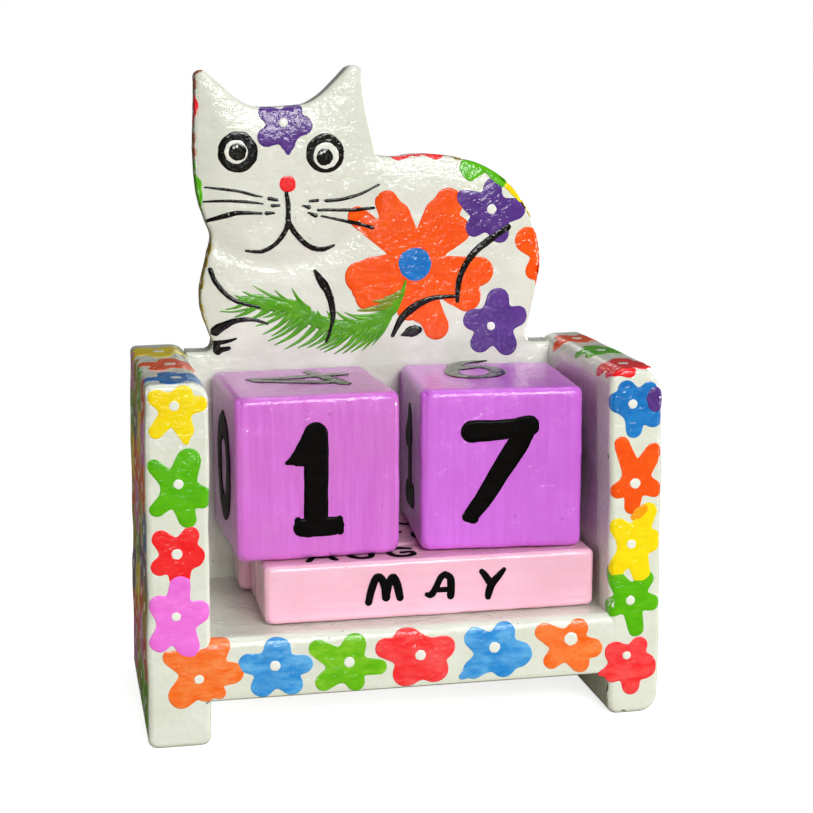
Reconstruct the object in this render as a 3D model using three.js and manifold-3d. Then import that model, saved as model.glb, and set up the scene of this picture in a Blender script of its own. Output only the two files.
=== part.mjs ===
import * as THREE from "three";
import { mergeVertices } from "three/addons/utils/BufferGeometryUtils.js";
import { RoundedBoxGeometry } from "three/addons/geometries/RoundedBoxGeometry.js";
import Module from "manifold-3d";

// Perpetual desk calendar: a small painted wooden bench whose back is cut as a sitting cat.
// Two day cubes stand on a row of three four-sided month bars, which lie on the seat.
// Millimetres, +Z up, the front faces -Y, and the origin is on the table under the middle.

// Loose pieces
const cubeSize = 38.3; // each day cube, a side
const cubeRadius = 1.3; // rounding of a cube's edges
const leftCubeTurn = 0.042; // how far the left cube stands turned, in radians
const rightCubeTurn = -0.075; // and the right one
const barLength = 78.1; // each month bar
const barSection = 14.1; // height and depth of a bar's square section
const barRadius = 1.3; // rounding of a bar's edges
const barCount = 3; // four months on each

// Bench
const leftArmThickness = 14.2;
const rightArmThickness = 12.7;
const armHeight = 82.6;
const footSplay = 1.3; // each foot stands this far out past the top of its arm
const armEdge = 1.3; // rounding of the arms' front and rear edges
const seatThickness = 14.3;
const seatClearance = 10.3; // table to the underside of the seat
const seatLip = 6.5; // seat in front of the month bars
const seatFrontRadius = 2.2; // rounding of the rail's upper front edge
const backThickness = 9;
const backEdge = 0.8; // rounding of the back board's edges
const shoulderDrop = 1.2; // the back board's shoulders lie this far below the arms' tops
const shoulderLedge = 1.9; // shoulder beside the cat on each side
const shoulderFillet = 1.6; // hollow corner where the cat rises from a shoulder
const catHeight = 67.9; // shoulders to the tip of the taller ear
const leftEarRadius = 1.6; // rounding of the ears' tips
const rightEarRadius = 2.2;

// Corner roundings of the arms seen from the front: outer top, inner top, inner foot, outer foot
const leftArmOuterTopRadius = 1.6;
const leftArmInnerTopRadius = 4.2;
const leftArmInnerFootRadius = 2;
const leftArmOuterFootRadius = 2.4;
const rightArmOuterTopRadius = 5;
const rightArmInnerTopRadius = 4.1;
const rightArmInnerFootRadius = 2.4;
const rightArmOuterFootRadius = 4.8;

// Clearances
const glueLine = 0.3; // between a board's end and the arm that carries it
const restGap = 0.1; // under each loose piece
const rowGap = 0.15; // between neighbouring bars
const backGap = 0.35; // between the loose pieces and the back board
const leftCubeGap = 4.6; // left arm to the left cube's nearest corner
const middleCubeGap = 4.4; // between the two cubes' nearest corners
const rightCubeGap = 0.45; // right cube's nearest corner to the right arm
const barRightGap = 1.3; // bars' right ends to the right arm
const barLeftGap = 3; // least room at the bars' left ends
const rearBarShift = 2.5; // the rear bar lies this much further left than the others

// Finishing nails
const nailRadius = 0.7;
const nailHeadRadius = 1.15;
const nailHeadHeight = 1;
const nailTip = 1.6; // length of the point
const nailGrip = 12; // how far a nail reaches into the second board
const nailSink = 0.6; // depth of the head below the surface
const nailFit = 0.15; // clearance round a nail in its hole
const seatNailInset = 11; // nails in the seat's ends, from the seat's front and rear
const backNailInset = 20; // nails through the back board, from the board's sides
const upperNailDrop = 17; // nails into the back board's edges, below the arms' tops

// Smoothness
const nailSides = 12;
const curveSteps = 5; // along each rounded corner
const splineSteps = 2; // between two points of the cat's outline
const edgeSteps = 3; // across each rounded edge

// Worked out from the sizes above
const reach = (turn) => (cubeSize / 2) * (Math.cos(turn) + Math.abs(Math.sin(turn)));
const leftReach = reach(leftCubeTurn);
const rightReach = reach(rightCubeTurn);
const cubeRow = leftCubeGap + 2 * leftReach + middleCubeGap + 2 * rightReach + rightCubeGap;
const barRow = barLeftGap + rearBarShift + barLength + barRightGap;
const rowWidth = Math.max(cubeRow, barRow); // between the arms at their tops
const topWidth = leftArmThickness + rowWidth + rightArmThickness;
const barStack = barCount * barSection + (barCount - 1) * rowGap;
const cubeStack = 2 * Math.max(leftReach, rightReach);
const seatDepth = seatLip + Math.max(barStack, cubeStack) + backGap;
const overallDepth = seatDepth + backThickness;
const frontY = -overallDepth / 2;
const backFrontY = frontY + seatDepth;
const seatTop = seatClearance + seatThickness;
const barMiddleZ = seatTop + restGap + barSection / 2;
const cubeMiddleZ = seatTop + restGap + barSection + restGap + cubeSize / 2;
const shoulderZ = armHeight - shoulderDrop;
const armInner = { left: -topWidth / 2 + leftArmThickness, right: topWidth / 2 - rightArmThickness };

// The arms lean in towards their tops, so a face stands further out the lower it is.
const lean = (z) => footSplay * (1 - z / armHeight);
const leftInnerX = (z) => armInner.left - lean(z);
const rightInnerX = (z) => armInner.right + lean(z);

const whiteEnamel = { color: 0xf1f3e6, roughness: 0.22, metalness: 0 };
const violetPaint = { color: 0xd470e6, roughness: 0.35, metalness: 0 };
const pinkPaint = { color: 0xffbfd7, roughness: 0.38, metalness: 0 };
const steel = { color: 0xb4b4b0, roughness: 0.35, metalness: 1 };

const wasm = await Module();
wasm.setup();

// A closed geometry as a solid, with its shared points merged.
function solidOf(geometry) {
  const bare = geometry.index ? geometry.toNonIndexed() : geometry.clone();
  bare.deleteAttribute("normal");
  bare.deleteAttribute("uv");
  const merged = mergeVertices(bare);
  return new wasm.Manifold(
    new wasm.Mesh({
      numProp: 3,
      vertProperties: new Float32Array(merged.attributes.position.array),
      triVerts: new Uint32Array(merged.index.array),
    }),
  );
}

function geometryOf(solid) {
  const mesh = solid.getMesh();
  const geometry = new THREE.BufferGeometry();
  geometry.setAttribute("position", new THREE.BufferAttribute(mesh.vertProperties, mesh.numProp));
  geometry.setIndex(new THREE.BufferAttribute(mesh.triVerts, 1));
  geometry.computeVertexNormals();
  return geometry;
}

function cut(geometry, tools) {
  return geometryOf(tools.reduce((body, tool) => body.subtract(solidOf(tool)), solidOf(geometry)));
}

// The next corner of an anticlockwise outline, as an arc that touches both of the corner's sides.
function roundCorner(shape, before, corner, after, radius) {
  const back = before.clone().sub(corner).normalize();
  const on = after.clone().sub(corner).normalize();
  const halfAngle = Math.acos(back.dot(on)) / 2;
  const middle = back.clone().add(on).normalize();
  const centre = corner.clone().addScaledVector(middle, radius / Math.sin(halfAngle));
  const start = back.multiplyScalar(radius / Math.tan(halfAngle)).add(corner).sub(centre);
  const end = on.multiplyScalar(radius / Math.tan(halfAngle)).add(corner).sub(centre);
  shape.absarc(centre.x, centre.y, radius, start.angle(), end.angle(), false);
}

// An anticlockwise outline from corners, each with its rounding.
function roundedShape(corners) {
  const shape = new THREE.Shape();
  corners.forEach(({ at, radius }, i) => {
    const before = corners.at(i - 1).at;
    const after = corners[(i + 1) % corners.length].at;
    if (radius > 0) roundCorner(shape, before, at, after, radius);
    else if (i > 0) shape.lineTo(at.x, at.y);
    else shape.moveTo(at.x, at.y);
  });
  shape.closePath();
  return shape;
}

const corner = (x, y, radius) => ({ at: new THREE.Vector2(x, y), radius });

// A front view's outline, extruded from one depth to another with rounded front and rear edges.
function slab(shape, fromY, toY, edge, steps) {
  const geometry = new THREE.ExtrudeGeometry(shape, {
    depth: toY - fromY - 2 * edge,
    bevelThickness: edge,
    bevelSize: edge,
    bevelOffset: -edge,
    bevelSegments: edgeSteps,
    curveSegments: steps,
  });
  return geometry.rotateX(Math.PI / 2).translate(0, toY - edge, 0);
}

// Arms: the left one has its outer face on the -X side, the right one on the +X side.
function armGeometry(side, thickness, radii) {
  const outer = (z) => side * (topWidth / 2 + lean(z));
  const inner = (z) => outer(z) - side * thickness;
  const corners = [
    corner(outer(armHeight), armHeight, radii.outerTop),
    corner(inner(armHeight), armHeight, radii.innerTop),
    corner(inner(0), 0, radii.innerFoot),
    corner(outer(0), 0, radii.outerFoot),
  ];
  if (side < 0) corners.reverse();
  return slab(roundedShape(corners), frontY, frontY + overallDepth, armEdge, curveSteps);
}

// Seat: a side view's profile run from arm to arm, its ends following the arms' lean.
function seatGeometry() {
  const profile = roundedShape([
    corner(0, 0, 0),
    corner(seatDepth, 0, 0),
    corner(seatDepth, seatThickness, seatFrontRadius),
    corner(0, seatThickness, 0),
  ]);
  const geometry = new THREE.ExtrudeGeometry(profile, {
    depth: rowWidth,
    bevelEnabled: false,
    curveSegments: curveSteps,
  });
  const place = geometry.attributes.position;
  for (let i = 0; i < place.count; i++) {
    const z = seatClearance + place.getY(i);
    const left = leftInnerX(z) + glueLine;
    const right = rightInnerX(z) - glueLine;
    place.setXYZ(i, place.getZ(i) > 0 ? left : right, backFrontY - place.getX(i), z);
  }
  return geometry;
}

// Cat: points of the outline as shares of its width, from its middle, and of its height.
// They run anticlockwise from the right shoulder, and an ear's corner stands past its rounded tip.
const rumpShares = [
  [0.462, 0.046], [0.47, 0.09], [0.484, 0.162], [0.496, 0.242], [0.5, 0.325], [0.488, 0.411],
  [0.458, 0.499], [0.406, 0.587], [0.343, 0.643], [0.272, 0.676], [0.205, 0.691],
  [0.132, 0.694], [0.072, 0.687], [0.02, 0.692],
];
const napeShares = [[0.006, 0.757], [-0.008, 0.827], [-0.017, 0.892], [-0.021, 0.93]];
const rightEarShare = [-0.026, 1.056];
const crownShares = [
  [-0.095, 0.965], [-0.142, 0.91], [-0.19, 0.876], [-0.25, 0.868],
  [-0.31, 0.867], [-0.35, 0.877], [-0.388, 0.905], [-0.42, 0.94],
];
const leftEarShare = [-0.4925, 1.02];
const chestShares = [
  [-0.496, 0.9], [-0.5, 0.78], [-0.499, 0.65], [-0.491, 0.55], [-0.472, 0.464], [-0.457, 0.407],
  [-0.47, 0.335], [-0.484, 0.268], [-0.492, 0.206], [-0.487, 0.14], [-0.471, 0.078], [-0.46, 0.036],
];

// Back board: a plain lower part between the arms, with the cat rising from its shoulders.
function backGeometry() {
  const left = (z) => leftInnerX(z) + glueLine;
  const right = (z) => rightInnerX(z) - glueLine;
  const catWidth = right(shoulderZ) - left(shoulderZ) - 2 * shoulderLedge;
  const catMiddle = (right(shoulderZ) + left(shoulderZ)) / 2;
  const point = ([across, up]) =>
    new THREE.Vector2(catMiddle + across * catWidth, shoulderZ + up * catHeight);
  const [rump, nape, crown, chest] = [rumpShares, napeShares, crownShares, chestShares].map(
    (shares) => shares.map(point),
  );
  const rumpFoot = rump[0];
  const chestFoot = chest.at(-1);
  const shape = new THREE.Shape();
  shape.moveTo(left(seatClearance), seatClearance);
  shape.lineTo(right(seatClearance), seatClearance);
  shape.lineTo(right(shoulderZ), shoulderZ);
  shape.lineTo(rumpFoot.x + shoulderFillet, shoulderZ);
  shape.quadraticCurveTo(rumpFoot.x, shoulderZ, rumpFoot.x, rumpFoot.y);
  shape.splineThru(rump.slice(1));
  shape.splineThru(nape);
  roundCorner(shape, nape.at(-1), point(rightEarShare), crown[0], rightEarRadius);
  shape.lineTo(crown[0].x, crown[0].y);
  shape.splineThru(crown.slice(1));
  roundCorner(shape, crown.at(-1), point(leftEarShare), chest[0], leftEarRadius);
  shape.lineTo(chest[0].x, chest[0].y);
  shape.splineThru(chest.slice(1));
  shape.quadraticCurveTo(chestFoot.x, shoulderZ, chestFoot.x - shoulderFillet, shoulderZ);
  shape.lineTo(left(shoulderZ), shoulderZ);
  shape.closePath();
  return slab(shape, backFrontY, backFrontY + backThickness, backEdge, splineSteps);
}

// Nails: each has a start on a board's face, a direction into the wood and the first board's thickness.
const seatMiddleZ = seatClearance + seatThickness / 2;
const upperNailZ = armHeight - upperNailDrop;
const backMiddleY = backFrontY + backThickness / 2;
const armFace = (side, z) => side * (topWidth / 2 + lean(z));

function armNail(side, y, z) {
  const thickness = side < 0 ? leftArmThickness : rightArmThickness;
  return { from: [armFace(side, z), y, z], along: [-side, 0, 0], first: thickness + glueLine };
}

function backNail(x) {
  return { from: [x, backFrontY + backThickness, seatMiddleZ], along: [0, -1, 0], first: backThickness };
}

const nails = {
  left_arm_nail_front: armNail(-1, frontY + seatNailInset, seatMiddleZ),
  left_arm_nail_rear: armNail(-1, backFrontY - seatNailInset, seatMiddleZ),
  left_arm_nail_upper: armNail(-1, backMiddleY, upperNailZ),
  right_arm_nail_front: armNail(1, frontY + seatNailInset, seatMiddleZ),
  right_arm_nail_rear: armNail(1, backFrontY - seatNailInset, seatMiddleZ),
  right_arm_nail_upper: armNail(1, backMiddleY, upperNailZ),
  back_board_nail_left: backNail(leftInnerX(seatMiddleZ) + backNailInset),
  back_board_nail_right: backNail(rightInnerX(seatMiddleZ) - backNailInset),
};

// A shape turned about +Y is laid along the nail's way in, with its foot at a depth below the face.
function layAlong(geometry, nail, depth) {
  const way = new THREE.Vector3(...nail.along);
  const turn = new THREE.Quaternion().setFromUnitVectors(new THREE.Vector3(0, 1, 0), way);
  const start = new THREE.Vector3(...nail.from).addScaledVector(way, depth);
  return geometry.applyQuaternion(turn).translate(...start.toArray());
}

function nailGeometry(nail) {
  const length = nail.first - nailSink + nailGrip;
  const outline = [
    [0, 0],
    [nailHeadRadius, 0],
    [nailHeadRadius, nailHeadHeight / 2],
    [nailRadius, nailHeadHeight],
    [nailRadius, length - nailTip],
    [0, length],
  ].map(([x, y]) => new THREE.Vector2(x, y));
  return layAlong(new THREE.LatheGeometry(outline, nailSides), nail, nailSink);
}

// The hole for a nail: a clear way from outside the face to just past the nail's point.
function boreGeometry(nail) {
  const headFloor = nailSink + nailHeadHeight + nailFit;
  const end = nail.first + nailGrip + nailFit;
  const outline = [
    [0, -nailSink],
    [nailHeadRadius + nailFit, -nailSink],
    [nailHeadRadius + nailFit, headFloor],
    [nailRadius + nailFit, headFloor],
    [nailRadius + nailFit, end],
    [0, end],
  ].map(([x, y]) => new THREE.Vector2(x, y));
  return layAlong(new THREE.LatheGeometry(outline, nailSides), nail, 0);
}

const bores = (...names) => names.map((name) => boreGeometry(nails[name]));
const sideBores = (side) => bores(side + "_arm_nail_front", side + "_arm_nail_rear");
const upperBores = (side) => bores(side + "_arm_nail_upper");
const backBores = bores("back_board_nail_left", "back_board_nail_right");

const calendar = new THREE.Group();

function add(parent, name, geometry, finish) {
  const mesh = new THREE.Mesh(geometry, new THREE.MeshStandardMaterial(finish));
  mesh.name = name;
  parent.add(mesh);
  return mesh;
}

// The bench
const bench = new THREE.Group();
const leftRadii = {
  outerTop: leftArmOuterTopRadius,
  innerTop: leftArmInnerTopRadius,
  innerFoot: leftArmInnerFootRadius,
  outerFoot: leftArmOuterFootRadius,
};
const rightRadii = {
  outerTop: rightArmOuterTopRadius,
  innerTop: rightArmInnerTopRadius,
  innerFoot: rightArmInnerFootRadius,
  outerFoot: rightArmOuterFootRadius,
};
const leftArm = armGeometry(-1, leftArmThickness, leftRadii);
const rightArm = armGeometry(1, rightArmThickness, rightRadii);
const seatBores = [...sideBores("left"), ...sideBores("right"), ...backBores];
const backBoardBores = [...upperBores("left"), ...upperBores("right"), ...backBores];
add(bench, "left_arm", cut(leftArm, [...sideBores("left"), ...upperBores("left")]), whiteEnamel);
add(bench, "right_arm", cut(rightArm, [...sideBores("right"), ...upperBores("right")]), whiteEnamel);
add(bench, "seat_board", cut(seatGeometry(), seatBores), whiteEnamel);
add(bench, "cat_back_board", cut(backGeometry(), backBoardBores), whiteEnamel);
for (const [name, nail] of Object.entries(nails)) add(bench, name, nailGeometry(nail), steel);
calendar.add(bench);

// The month bars, rear one first: each stands in front of the one before it.
const barX = rightInnerX(barMiddleZ) - barRightGap - barLength / 2;
["month_bar_rear", "month_bar_middle", "month_bar_front"].forEach((name, row) => {
  const geometry = new RoundedBoxGeometry(barLength, barSection, barSection, edgeSteps, barRadius);
  const bar = add(calendar, name, geometry, pinkPaint);
  const behind = backGap + row * (barSection + rowGap);
  const x = name === "month_bar_rear" ? barX - rearBarShift : barX;
  bar.position.set(x, backFrontY - behind - barSection / 2, barMiddleZ);
});

// The day cubes, each with a corner close to the back board
function addCube(name, x, turn) {
  const geometry = new RoundedBoxGeometry(cubeSize, cubeSize, cubeSize, edgeSteps, cubeRadius);
  const cube = add(calendar, name, geometry, violetPaint);
  cube.position.set(x, backFrontY - backGap - reach(turn), cubeMiddleZ);
  cube.rotation.z = turn;
}
addCube("day_cube_left", armInner.left + leftCubeGap + leftReach, leftCubeTurn);
addCube("day_cube_right", armInner.right - rightCubeGap - rightReach, rightCubeTurn);

export default calendar;
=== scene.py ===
import bisect
import math
import random

import bmesh
import bpy
from mathutils import Matrix, Vector, kdtree, noise


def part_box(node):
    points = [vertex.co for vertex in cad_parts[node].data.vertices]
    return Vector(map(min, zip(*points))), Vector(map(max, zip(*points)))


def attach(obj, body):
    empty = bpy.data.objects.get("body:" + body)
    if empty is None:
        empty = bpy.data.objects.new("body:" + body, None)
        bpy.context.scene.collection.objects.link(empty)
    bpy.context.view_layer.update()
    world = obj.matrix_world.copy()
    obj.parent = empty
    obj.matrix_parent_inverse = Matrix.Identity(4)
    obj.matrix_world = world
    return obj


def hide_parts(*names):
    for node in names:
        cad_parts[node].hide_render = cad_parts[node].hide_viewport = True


# Perpetual desk calendar: a painted wooden bench with a cat for its back, day cubes and month bars.
# Pieces are modelled in millimetres and made metres when they are finished.

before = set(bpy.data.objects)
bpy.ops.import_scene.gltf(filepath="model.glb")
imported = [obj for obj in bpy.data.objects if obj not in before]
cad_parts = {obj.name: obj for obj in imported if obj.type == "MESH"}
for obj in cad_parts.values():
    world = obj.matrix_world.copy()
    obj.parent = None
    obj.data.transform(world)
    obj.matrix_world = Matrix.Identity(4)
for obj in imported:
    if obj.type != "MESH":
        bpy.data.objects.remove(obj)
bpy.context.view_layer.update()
millimetre = 0.001
painterHand = random.Random(17)  # the painter's small unevenness

photoView = {
    "place": (-79.9, -402.3, 148.2),  # camera, millimetres
    "yaw": 0.208,
    "pitch": 0.188,
    "focalPixels": 1755,
    "pictureSide": 813,
    "sensor": 36,
}
viewYaw, viewPitch = photoView["yaw"], photoView["pitch"]
ahead = Vector((math.sin(viewYaw) * math.cos(viewPitch), math.cos(viewYaw) * math.cos(viewPitch),
                -math.sin(viewPitch)))
rightHand = Vector((math.cos(viewYaw), -math.sin(viewYaw), 0))
overHead = rightHand.cross(ahead)


def boxOf(node):
    low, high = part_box(node)
    return low / millimetre, high / millimetre


outlineShape = {
    "cornerSteps": 10,
    "lineSteps": 8,
    "leastGap": 0.45,  # points closer than this share of the set gap are dropped
    "waverScale": 0.09,
    "waverFrom": 4,  # below this height an edge stays true
    "slide": 1.5,  # how far the nearest point may lie from a point of the outline
}


def roundedCorner(before, corner, after, radius, steps):
    # the arc that rounds a corner off
    back = (before - corner).normalized()
    on = (after - corner).normalized()
    half = back.angle(on) / 2
    centre = corner + (back + on).normalized() * (radius / math.sin(half))
    start = corner + back * (radius / math.tan(half)) - centre
    end = corner + on * (radius / math.tan(half)) - centre
    sweep = start.angle(end)
    shares = [i / steps for i in range(steps + 1)]
    return [centre + (start * math.sin((1 - s) * sweep) + end * math.sin(s * sweep)) / math.sin(sweep)
            for s in shares]


def roundedOutline(corners):
    # corners are (x, z, radius), anticlockwise seen from the front
    points = [Vector(corner[:2]) for corner in corners]
    outline = []
    for i, corner in enumerate(corners):
        if corner[2] > 0:
            outline += roundedCorner(points[i - 1], points[i], points[(i + 1) % len(points)], corner[2],
                                     outlineShape["cornerSteps"])
        else:
            outline.append(points[i])
    return outline


def smoothLine(points, steps):
    # a smooth curve through all the points
    ends = [points[0]] + list(points) + [points[-1]]
    line = []
    for a, b, c, d in zip(ends, ends[1:], ends[2:], ends[3:]):
        for i in range(steps):
            t = i / steps
            bend = (2 * a - 5 * b + 4 * c - d) * t * t
            twist = (3 * b - a - 3 * c + d) * t ** 3
            line.append(0.5 * (2 * b + (c - a) * t + bend + twist))
    return line + [points[-1]]


def evenLine(points, gap):
    # a closed outline with its points a set gap apart, its sharp corners kept
    line = []
    for a, b in zip(points, points[1:] + points[:1]):
        pieces = max(1, round((b - a).length / gap))
        line += [a.lerp(b, i / pieces) for i in range(pieces)]
    kept = [line[0]]
    for point in line[1:]:
        if (point - kept[-1]).length > gap * outlineShape["leastGap"]:
            kept.append(point)
    return kept


def outwardAt(outline, i):
    along = (outline[(i + 1) % len(outline)] - outline[i - 1]).normalized()
    return Vector((along.y, -along.x))


def waver(outline, most):
    # a sawn edge is never quite true: every point moves inwards a little
    scale = outlineShape["waverScale"]
    moved = []
    for i, point in enumerate(outline):
        share = 0.5 + noise.noise(Vector((point.x * scale, point.y * scale, most)))
        share *= max(0, min(1, point.y / outlineShape["waverFrom"]))
        moved.append(point - outwardAt(outline, i) * (most * share))
    return moved


def makeBoard(outline, near, far, rim, relief=None):
    # an outline in two directions, carried along the third from near to far
    count = len(outline)
    outward = [outwardAt(outline, i) for i in range(count)]
    lengths = [0]
    tree = kdtree.KDTree(count)
    for i, point in enumerate(outline):
        lengths.append(lengths[-1] + (outline[(i + 1) % count] - point).length)
        tree.insert((point.x, point.y, 0), i)
    tree.balance()
    return {"outline": outline, "outward": outward, "lengths": lengths, "tree": tree,
            "near": near, "far": far, "rim": rim, "relief": relief or (lambda x, z, inside: 0)}


def insideOf(board, x, z):
    # how far a point lies inside the outline, the outline's point beside it, and the way out there
    found, index, gap = board["tree"].find((x, z, 0))
    out = board["outward"][index]
    offset = Vector((x, z)) - board["outline"][index]
    along = Vector((-out.y, out.x))
    slide = max(-outlineShape["slide"], min(outlineShape["slide"], offset.dot(along)))
    return -offset.dot(out), board["outline"][index] + along * slide, out


def folded(radius, past, h):
    # past the beginning of a rounded edge: how far out, how far round it, and what goes on beyond
    turn = min(past / radius, math.pi / 2)
    return (radius + h) * math.cos(turn), (radius + h) * math.sin(turn), max(0, past - radius * math.pi / 2)


def faceOf(board, front=True):
    # the front or the back of an upright board, on whose edge a pattern folds over
    facing = -1 if front else 1
    level = board["near"] if front else board["far"]
    rim = board["rim"]

    def point(a, b, h):
        x, z = (a, b) if front else (-a, b)
        inside, edge, out = insideOf(board, x, z)
        sunk = board["relief"](x, z, max(inside, rim)) if front else 0
        start = level - facing * sunk
        if inside >= rim:
            return Vector((x, start + facing * h, z))
        proud, around, beyond = folded(rim, rim - inside, h)
        flat = edge + out * (around - rim)
        return Vector((flat.x, start - facing * (rim - proud + beyond), flat.y))

    across = Vector((1, 0, 0)) if front else Vector((-1, 0, 0))
    return {"origin": Vector((0, level, 0)), "across": across, "up": Vector((0, 0, 1)), "point": point}


def edgeOf(board, x, z, depth):
    # the narrow side of a board that runs round its outline, starting at the outline's point nearest (x, z)
    outline, outward, lengths, rim = (board[key] for key in ("outline", "outward", "lengths", "rim"))
    start = lengths[board["tree"].find((x, z, 0))[1]]

    def outlineAt(distance):
        distance %= lengths[-1]
        low = min(bisect.bisect_right(lengths, distance), len(outline)) - 1
        share = (distance - lengths[low]) / (lengths[low + 1] - lengths[low])
        following = (low + 1) % len(outline)
        return (outline[low].lerp(outline[following], share),
                outward[low].lerp(outward[following], share).normalized())

    def point(a, b, h):
        place, out = outlineAt(start + a)
        deep = depth + b
        if deep >= rim:
            flat = place + out * h
        else:
            proud, around, beyond = folded(rim, rim - deep, h)
            flat = place + out * (proud - rim - beyond)
            deep = rim - around
        return Vector((flat.x, board["near"] + deep, flat.y))

    return {"point": point}


def flatFace(origin, across, up):
    out = across.cross(up)
    return {"origin": origin, "across": across, "up": up,
            "point": lambda a, b, h: origin + across * a + up * b + out * h}


def onFace(surface, pixel):
    # where the line of sight through a pixel of the photograph meets a face, and the size of a pixel there
    middle = photoView["pictureSide"] / 2
    focal = photoView["focalPixels"]
    sight = ahead + rightHand * ((pixel[0] - middle) / focal) - overHead * ((pixel[1] - middle) / focal)
    eye = Vector(photoView["place"])
    out = surface["across"].cross(surface["up"])
    reach = (surface["origin"] - eye).dot(out) / sight.dot(out)
    hit = eye + sight * reach - surface["origin"]
    return Vector((hit.dot(surface["across"]), hit.dot(surface["up"]))), reach / focal


coats = {}  # (body, paint) and its strokes
paintShape = {
    "sink": 0.2,  # how deep a stroke reaches into what carries it
    "wander": 90,  # how far apart two strokes' unevenness may lie in the noise
    "petalFullness": 1.15,  # the brush is laid down broader than its trace
    "coreFullness": 1.14,  # the middle of a flower spreads a little between its petals
    "leastPetal": 4,  # in pixels: smaller petals aren't made fuller
    "rootFullness": 1.3,  # how much broader a petal may be at its root
    "spineSteps": 12,
    "notchPower": 9,  # softness of the notches between petals
    "ringPower": 1.6,
    "uneven": (0.2, 0.08, 2.6),  # most, share of the core, scale
    "rimFall": (0.75, 9),  # share of the height, power
    "sideFall": (0.7, 3),
    "lineSteps": 6,
    "capTurns": (0.12, 0.45, 0.85, 1.25),
    "raggedScale": (0.35, 1.3),  # along a line, across it
}


def layPaint(body, paint, surface, stroke):
    for vertex in stroke.verts:
        vertex.co = surface["point"](*vertex.co)
    bmesh.ops.recalc_face_normals(stroke, faces=stroke.faces[:])
    if stroke.calc_volume(signed=True) < 0:  # a thin sheet can come out of that inside out
        bmesh.ops.reverse_faces(stroke, faces=stroke.faces[:])
    coats.setdefault((body, paint), []).append(stroke)


def thicken(stroke):
    # a flat sheet of paint, with its height in z, is closed underneath
    under = stroke.verts[:]
    bmesh.ops.extrude_face_region(stroke, geom=stroke.faces[:])
    for vertex in under:
        vertex.co.z = -paintShape["sink"]


def petalReach(direction, core, petals):
    # how far a blossom's outline lies from its middle
    power, steps = paintShape["notchPower"], paintShape["spineSteps"]
    total = core ** power
    for place, size in petals:
        root = min(core, size * paintShape["rootFullness"])
        reach = 0
        for share in (i / steps for i in range(steps + 1)):
            centre = place * share
            radius = root + (size - root) * share
            along = centre.dot(direction)
            inside = radius * radius - centre.length_squared + along * along
            if inside > 0:
                reach = max(reach, along + math.sqrt(inside))
        total += reach ** power
    return total ** (1 / power)


def blossom(centre, core, petals, lift, rings=9, sides=96):
    # a disc is spun, and its rim drawn out into the petals: (place from the centre, radius of the tip)
    stroke = bmesh.new()
    reaches = [1 - (1 - i / rings) ** paintShape["ringPower"] for i in range(rings + 1)]
    spoke = [stroke.verts.new((reach, 0, 0)) for reach in reaches]
    edges = [stroke.edges.new(pair) for pair in zip(spoke, spoke[1:])]
    bmesh.ops.spin(stroke, geom=spoke + edges, cent=(0, 0, 0), axis=(0, 0, 1), angle=math.tau, steps=sides,
                   use_merge=True, use_duplicate=False)
    bmesh.ops.remove_doubles(stroke, verts=stroke.verts[:], dist=0.0001)
    wander = painterHand.random() * paintShape["wander"]
    (most, part, scale), (fall, power) = paintShape["uneven"], paintShape["rimFall"]
    for vertex in stroke.verts:
        share = vertex.co.length
        direction = Vector(vertex.co[:2]).normalized() if share > 0.0001 else Vector((1, 0))
        uneven = noise.noise(Vector((direction.x * scale, direction.y * scale, wander)))
        reach = petalReach(direction, core, petals) + min(most, core * part) * uneven
        place = centre + direction * (reach * share)
        vertex.co = (place.x, place.y, lift * (1 - fall * share ** power))
    thicken(stroke)
    return stroke


def brushLine(points, widths, lift, ragged):
    # a stroke of the brush along points, with half its width at each, round at both ends
    line = smoothLine(points, paintShape["lineSteps"])
    halves = [w.x for w in smoothLine([Vector((w, 0)) for w in widths], paintShape["lineSteps"])]
    ways = [(b - a).normalized() for a, b in zip(line, line[1:])]
    ways.append(ways[-1])

    def cap(index, facing, turns):
        place, way, half = line[index], ways[index], halves[index] * facing
        return [(place + way * half * math.cos(turn), way, abs(half) * math.sin(turn)) for turn in turns]

    stations = cap(0, -1, paintShape["capTurns"])
    stations += list(zip(line, ways, halves))
    stations += cap(-1, 1, reversed(paintShape["capTurns"]))
    stroke = bmesh.new()
    last = len(stations) - 1
    wander = painterHand.random() * paintShape["wander"]
    (fall, power), (scaleAlong, scaleAcross) = paintShape["sideFall"], paintShape["raggedScale"]
    bmesh.ops.create_grid(stroke, x_segments=last, y_segments=6, size=1)
    for vertex in stroke.verts:
        index = round((vertex.co.x + 1) / 2 * last)
        place, way, half = stations[index]
        side = vertex.co.y
        uneven = 1 + ragged * noise.noise(Vector((index * scaleAlong, side * scaleAcross, wander)))
        spot = place + Vector((-way.y, way.x)) * (side * half * uneven)
        vertex.co = (spot.x, spot.y, lift * (1 - fall * abs(side) ** power))
    thicken(stroke)
    return stroke


dotShape = {"lift": 0.07, "rings": 5, "sides": 48}  # a flower's white dot, its lift above the flower's


def discByPixels(paint, surface, disc, lift, rings=6, sides=96):
    # a round dab: (x, y, radius) in the photograph
    place, pixel = onFace(surface, disc[:2])
    layPaint("bench", paint, surface, blossom(place, disc[2] * pixel, [], lift, rings, sides))


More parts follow.
